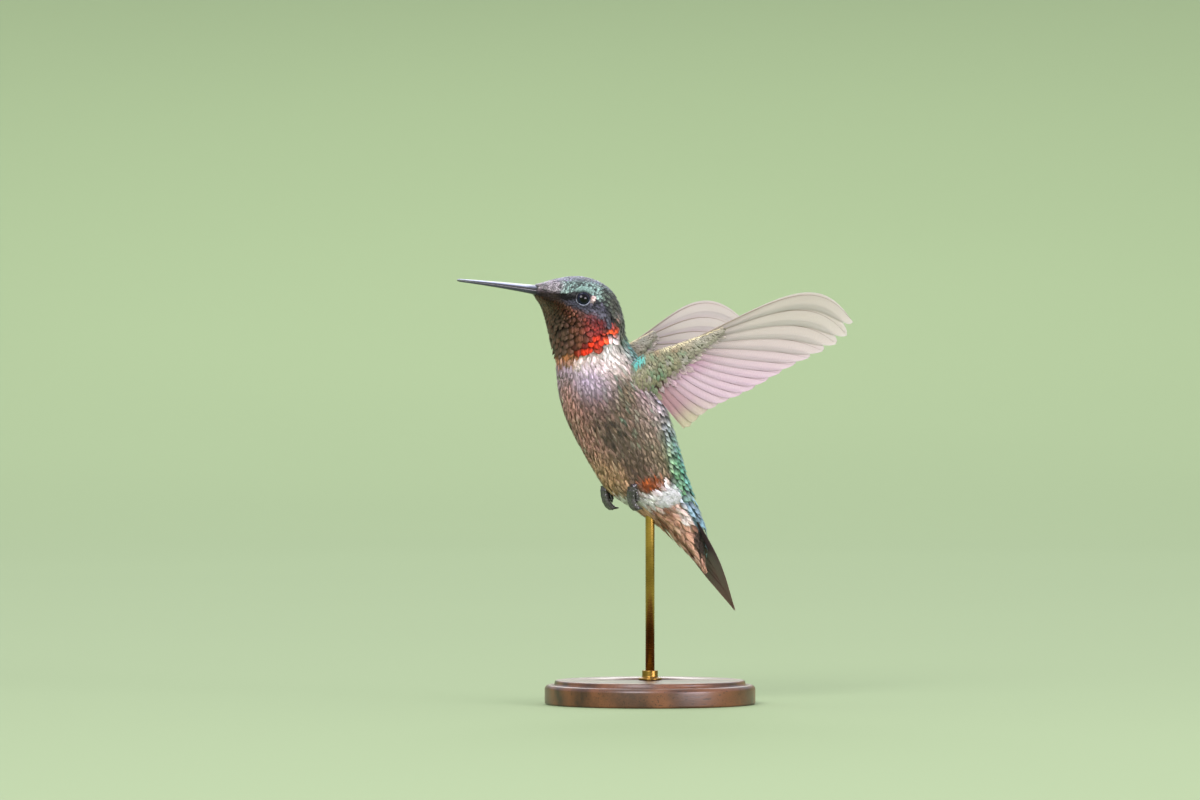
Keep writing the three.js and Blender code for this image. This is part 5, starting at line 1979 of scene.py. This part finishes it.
@dataclass
class Leg:
    """One leg: a downy thigh, a short shank, four curled toes and their claws."""

    name: str
    side: int
    hip: Triple = (-2.0, 4.3, 38.6)  # inside the belly
    ankle: Triple = (-4.6, 4.6, 38.8)
    knuckle: Triple = (-6.45, 4.75, 38.2)
    shank_radius: float = 0.42
    toe_radius: float = 0.48
    spread: float = 0.52
    lean: float = 0.14
    claw_share: float = 0.24  # share of a toe's path that is claw
    seed: int = 41

    FRONT_TOE = [(0, 0), (-0.12, -1.35), (0.2, -2.75), (1, -3.7), (2.3, -3.8)]
    HIND_TOE = [(0.45, -0.1), (0.85, -1), (1.15, -2), (1.3, -2.9)]

    def toe_line(self, path: Stops, across: float, t: Array) -> Array:
        """Places along a toe and its claw."""
        x, y, z = self.knuckle
        back, up = through(np.array(path, float), t).T
        return np.stack([x + back, self.side * (y + across + self.lean * up), z + up], -1)

    def scaled_tube(self, line: Array, radii: Array, scales: float) -> Shell:
        """A toe or shank whose skin is ringed with small plates."""
        run = np.append(0, np.cumsum(np.linalg.norm(np.diff(line, axis=0), axis=1)))
        saw = (run * scales) % 1
        plated = radii * (1 + 0.09 * (1 - saw) ** 0.6 - 0.05)
        return tube(line, plated, 14, 0.95, ACROSS)

    def foot(self) -> tuple[Shell, Shell]:
        """The scaled foot and its claws."""
        mirror = np.array([1, self.side, 1])
        joints = np.array([self.hip, self.ankle, self.knuckle]) * mirror
        t = np.linspace(0, 1, 44)
        parts = [self.scaled_tube(through(joints, t), mix(self.shank_radius, self.toe_radius, t), 2.6)]
        claws = []
        rows = [(self.FRONT_TOE, a) for a in (0, self.spread, -self.spread)] + [(self.HIND_TOE, 0)]
        for path, across in rows:
            toe_end = 1 - self.claw_share
            t = np.linspace(0, toe_end + 0.02, 46)
            pads = 1 + 0.1 * np.cos(t * 2 * math.pi * 3.2) ** 2
            parts.append(self.scaled_tube(self.toe_line(path, across, t), self.toe_radius * 0.92 * pads, 3.4))
            t = np.linspace(toe_end, 1, 22)
            share = (t - toe_end) / self.claw_share
            radii = self.toe_radius * 0.62 * (1 - share**1.5 * 0.9)
            claws.append(tube(self.toe_line(path, across, t), radii, 12, 0.8, ACROSS))
        return joined(parts), joined(claws)

    def thigh_down(self) -> Shell:
        """Loose white down over the thigh."""
        rng = np.random.default_rng(self.seed + self.side)
        surface = Thigh(self.side)
        count = 9000
        a = np.arccos(rng.uniform(-0.98, 0.98, count))
        b = rng.uniform(-math.pi, math.pi, count)
        picked = scatter(surface.point(a, b), np.full(count, 0.55), rng)
        a, b = a[picked], b[picked]
        count = len(a)
        shells = []
        for shape, rise, length in ((SOFT_VANE, 0.05, 1.6), (DOWN_LOCK, 0.15, 1.8), (DOWN_LOCK, 0.35, 2.1)):
            size = length * rng.uniform(0.75, 1.2, count)
            lift = rise * rng.uniform(0.4, 1.5, count)
            roots = Roots(a, b, rng.normal(0, 0.3, count), size, size * 0.6, lift)
            leaf = shape.leaf()
            white = ink("f6f7fe") * rng.uniform(0.92, 1, (count, 1))
            colours = paint(Pattern.PLAIN, white, leaf, rng, 0.95, 0.04).clip(0, 0.95)
            spots = np.stack([0.5 + b / 7, 0.05 + 0.9 * a / math.pi], -1)
            shells.append(feathers(lay(surface, roots, shape, 0.3, 0.013), leaf, colours, spots, rng))
        return joined(shells)

    def build(self) -> None:
        """The foot, its claws and the thigh's down, each a piece."""
        foot, claws = self.foot()
        # the second colour of each horn is a painted highlight
        scaled = Horn("foot_scales", srgb("0d0a0c"), srgb("5f585e"), roughness=0.25, grain=2600, relief=0.012)
        add_piece(f"toes_{self.name}", foot, [scaled.material()], "foot", f"foot_{self.name}")
        horn = Horn("claw_horn", srgb("100d0f"), srgb("3a3436"), roughness=0.16, grain=2600)
        add_piece(f"claws_{self.name}", claws, [horn.material()], "foot")
        add_piece(f"coat_thigh_{self.name}", self.thigh_down(), [WHITE.material()], PALE)


# --- stand


@dataclass
class Stand:
    """The display stand: a turned wooden base, and a brass rod and collar."""

    radius: float = 18.5
    height: float = 4.2
    bevel: float = 0.8
    rod_radius: float = 0.8
    rod_top: float = 35.6
    collar_radius: float = 2.1
    collar_height: float = 1.7
    socket: float = 1.2
    fit: float = 0.12
    sides: int = 128

    def arc(self, r: float, z: float, radius: float, start: float, end: float) -> list[Pair]:
        """A round stretch of a profile, from one angle to another, in degrees."""
        turns = np.radians(np.linspace(start, end, 9))
        return [(r + radius * math.cos(a), z + radius * math.sin(a)) for a in turns]

    def base(self) -> Shell:
        """The base, with a rounded foot, a bead and a raised top."""
        foot, step = self.bevel / 2, self.height - self.bevel
        lip = self.radius - 2.2 * self.bevel
        profile = [(0, 0), (self.radius - foot, 0)]
        profile += self.arc(self.radius - foot, foot, foot, -90, 0)
        profile += self.arc(self.radius - self.bevel, step - self.bevel, self.bevel, 0, 90)
        profile += [(lip + 0.12, step)]
        profile += self.arc(lip - self.bevel / 2, self.height - self.bevel / 2, self.bevel / 2, 0, 90)
        hole, bottom = self.rod_radius + self.fit, self.height - self.socket
        profile += [(hole, self.height), (hole, bottom)]
        return lathe(profile + [(0, bottom)], self.sides)

    def rod(self) -> Shell:
        """The rod, domed at the top."""
        low = self.height - self.socket
        dome = self.arc(self.rod_radius - 0.3, self.rod_top - 0.3, 0.3, 0, 90)
        return lathe([(0, low), (self.rod_radius, low), *dome, (0, self.rod_top)], 48)

    def collar(self) -> Shell:
        """The collar, a foot and a waist round the rod, with a small bead between."""
        foot = self.height + 0.02
        hole = self.rod_radius + 0.02
        waist = mix(hole, self.collar_radius, 0.45)
        top = foot + self.collar_height
        profile = [(0, foot), (self.collar_radius - 0.1, foot)]
        profile += self.arc(self.collar_radius - 0.2, foot + 0.2, 0.2, -60, 90)
        profile += self.arc(waist + 0.25, foot + 0.62 + 0.05, 0.25, 270, 180)
        profile += self.arc(waist - 0.12, top - 0.12, 0.12, 0, 90)
        return lathe(profile + [(0, top)], 64)

    def build(self) -> None:
        """The three pieces."""
        brass = Brass().material()
        add_piece("base", self.base(), [TurnedWood().material()], "stand_wood", "stand_base")
        add_piece("collar", self.collar(), [brass], "stand_brass", "stand_collar")
        add_piece("rod", self.rod(), [brass], "stand_brass", "stand_rod")


# --- studio


@dataclass
class Studio:
    """The camera, the soft lights and the pale floor."""

    azimuth: float = -30.0
    distance: float = 1170.0
    lens: float = 200.0
    sensor: float = 36.0
    aim_right: float = -8.775  # what the camera aims at: to the right of the origin, and its height
    aim_height: float = 53.35
    floor_radius: float = 1.3
    wall_radius: float = 3.4
    wall_height: float = 0.9
    target: Triple = (0.0, 0.0, 0.055)  # what the lights aim at, in metres

    def camera(self) -> None:
        """The camera, level, at the left front of the bird."""
        turn = math.radians(self.azimuth)
        right = Vector((math.cos(turn), math.sin(turn), 0))
        back = Vector((math.sin(turn), -math.cos(turn), 0))
        data = bpy.data.cameras.new("camera")
        data.lens = self.lens
        data.sensor_width = self.sensor
        data.clip_start, data.clip_end = 0.05, 20
        made = in_scene("camera", data)
        aim = right * self.aim_right + Vector((0, 0, self.aim_height))
        made.location = (aim + back * self.distance) * MM
        made.rotation_euler = (-back).to_track_quat("-Z", "Y").to_euler()
        bpy.context.scene.camera = made

    def light(self, name: str, at: Sequence[float], size: float, power: float, tint: Colour) -> None:
        """A round soft light aimed at the bird. Its place and size are in metres."""
        data = bpy.data.lights.new(name, "AREA")
        data.shape = "DISK"
        data.energy, data.size, data.color = power, size, tint
        made = in_scene(name, data)
        made.location = at
        made.rotation_euler = (Vector(at) - Vector(self.target)).to_track_quat("Z", "Y").to_euler()

    def lights(self) -> None:
        """A large key from the upper left, a fill, a top light and one behind."""
        self.light("key", (-2, -1.8, 1.9), 1.9, 98, (1, 0.94, 0.99))
        self.light("fill", (0.9, -2.3, 0.25), 1.5, 80, (0.98, 0.87, 1))
        self.light("top", (-0.2, 0.1, 2.6), 1.4, 10, (0.92, 0.96, 1))
        self.light("back", (1.2, 2.1, 1.4), 1.2, 16, (1, 0.99, 0.96))

    def world(self) -> None:
        """A dim pale surround."""
        world = bpy.data.worlds.new("surround")
        world.use_nodes = True
        glow = world.node_tree.nodes["Background"].inputs
        glow["Color"].default_value = (0.94, 0.93, 1, 1)
        glow["Strength"].default_value = 0.85
        bpy.context.scene.world = world

    def floor(self) -> None:
        """A floor that sweeps up into a wall on every side."""
        sides = 128
        turn = np.linspace(0, math.pi / 2, 28)
        level = np.linspace(0.02, self.floor_radius, 10)[:-1]
        radii = np.append(level, self.floor_radius + (self.wall_radius - self.floor_radius) * np.sin(turn))
        heights = np.append(0 * level, self.wall_height * (1 - np.cos(turn)))
        points = turned_rows(radii, heights, sides).reshape(-1, 3)
        faces = np.concatenate([walls(len(radii), sides), end_fan(len(points), 0, sides)])
        shell = Shell(np.concatenate([points, [[0, 0, 0]]]) / MM, faces)
        make_object("floor", shell, [Backdrop().material()])

    def build(self) -> None:
        """Everything round the model."""
        self.camera()
        self.lights()
        self.world()
        self.floor()
        bpy.context.scene.view_settings.view_transform = "Standard"


# --- assembly


def main() -> None:
    """Builds the model and its studio, in order."""
    logging.basicConfig(level=logging.INFO, format="%(message)s")
    body, markings = Body(), Markings()
    Studio().build()
    Stand().build()
    wings = [Wing(name, side) for name, side in SIDES.items()]
    SkinBuilder(body, markings, wings).build()
    Coat(body, markings).build()
    for wing in wings:
        wing.build()
    Tail().build()
    Bill().build()
    for name, side in SIDES.items():
        Eye(body, markings, name, side).build()
        Leg(name, side).build()


if __name__ == "__main__":
    main()
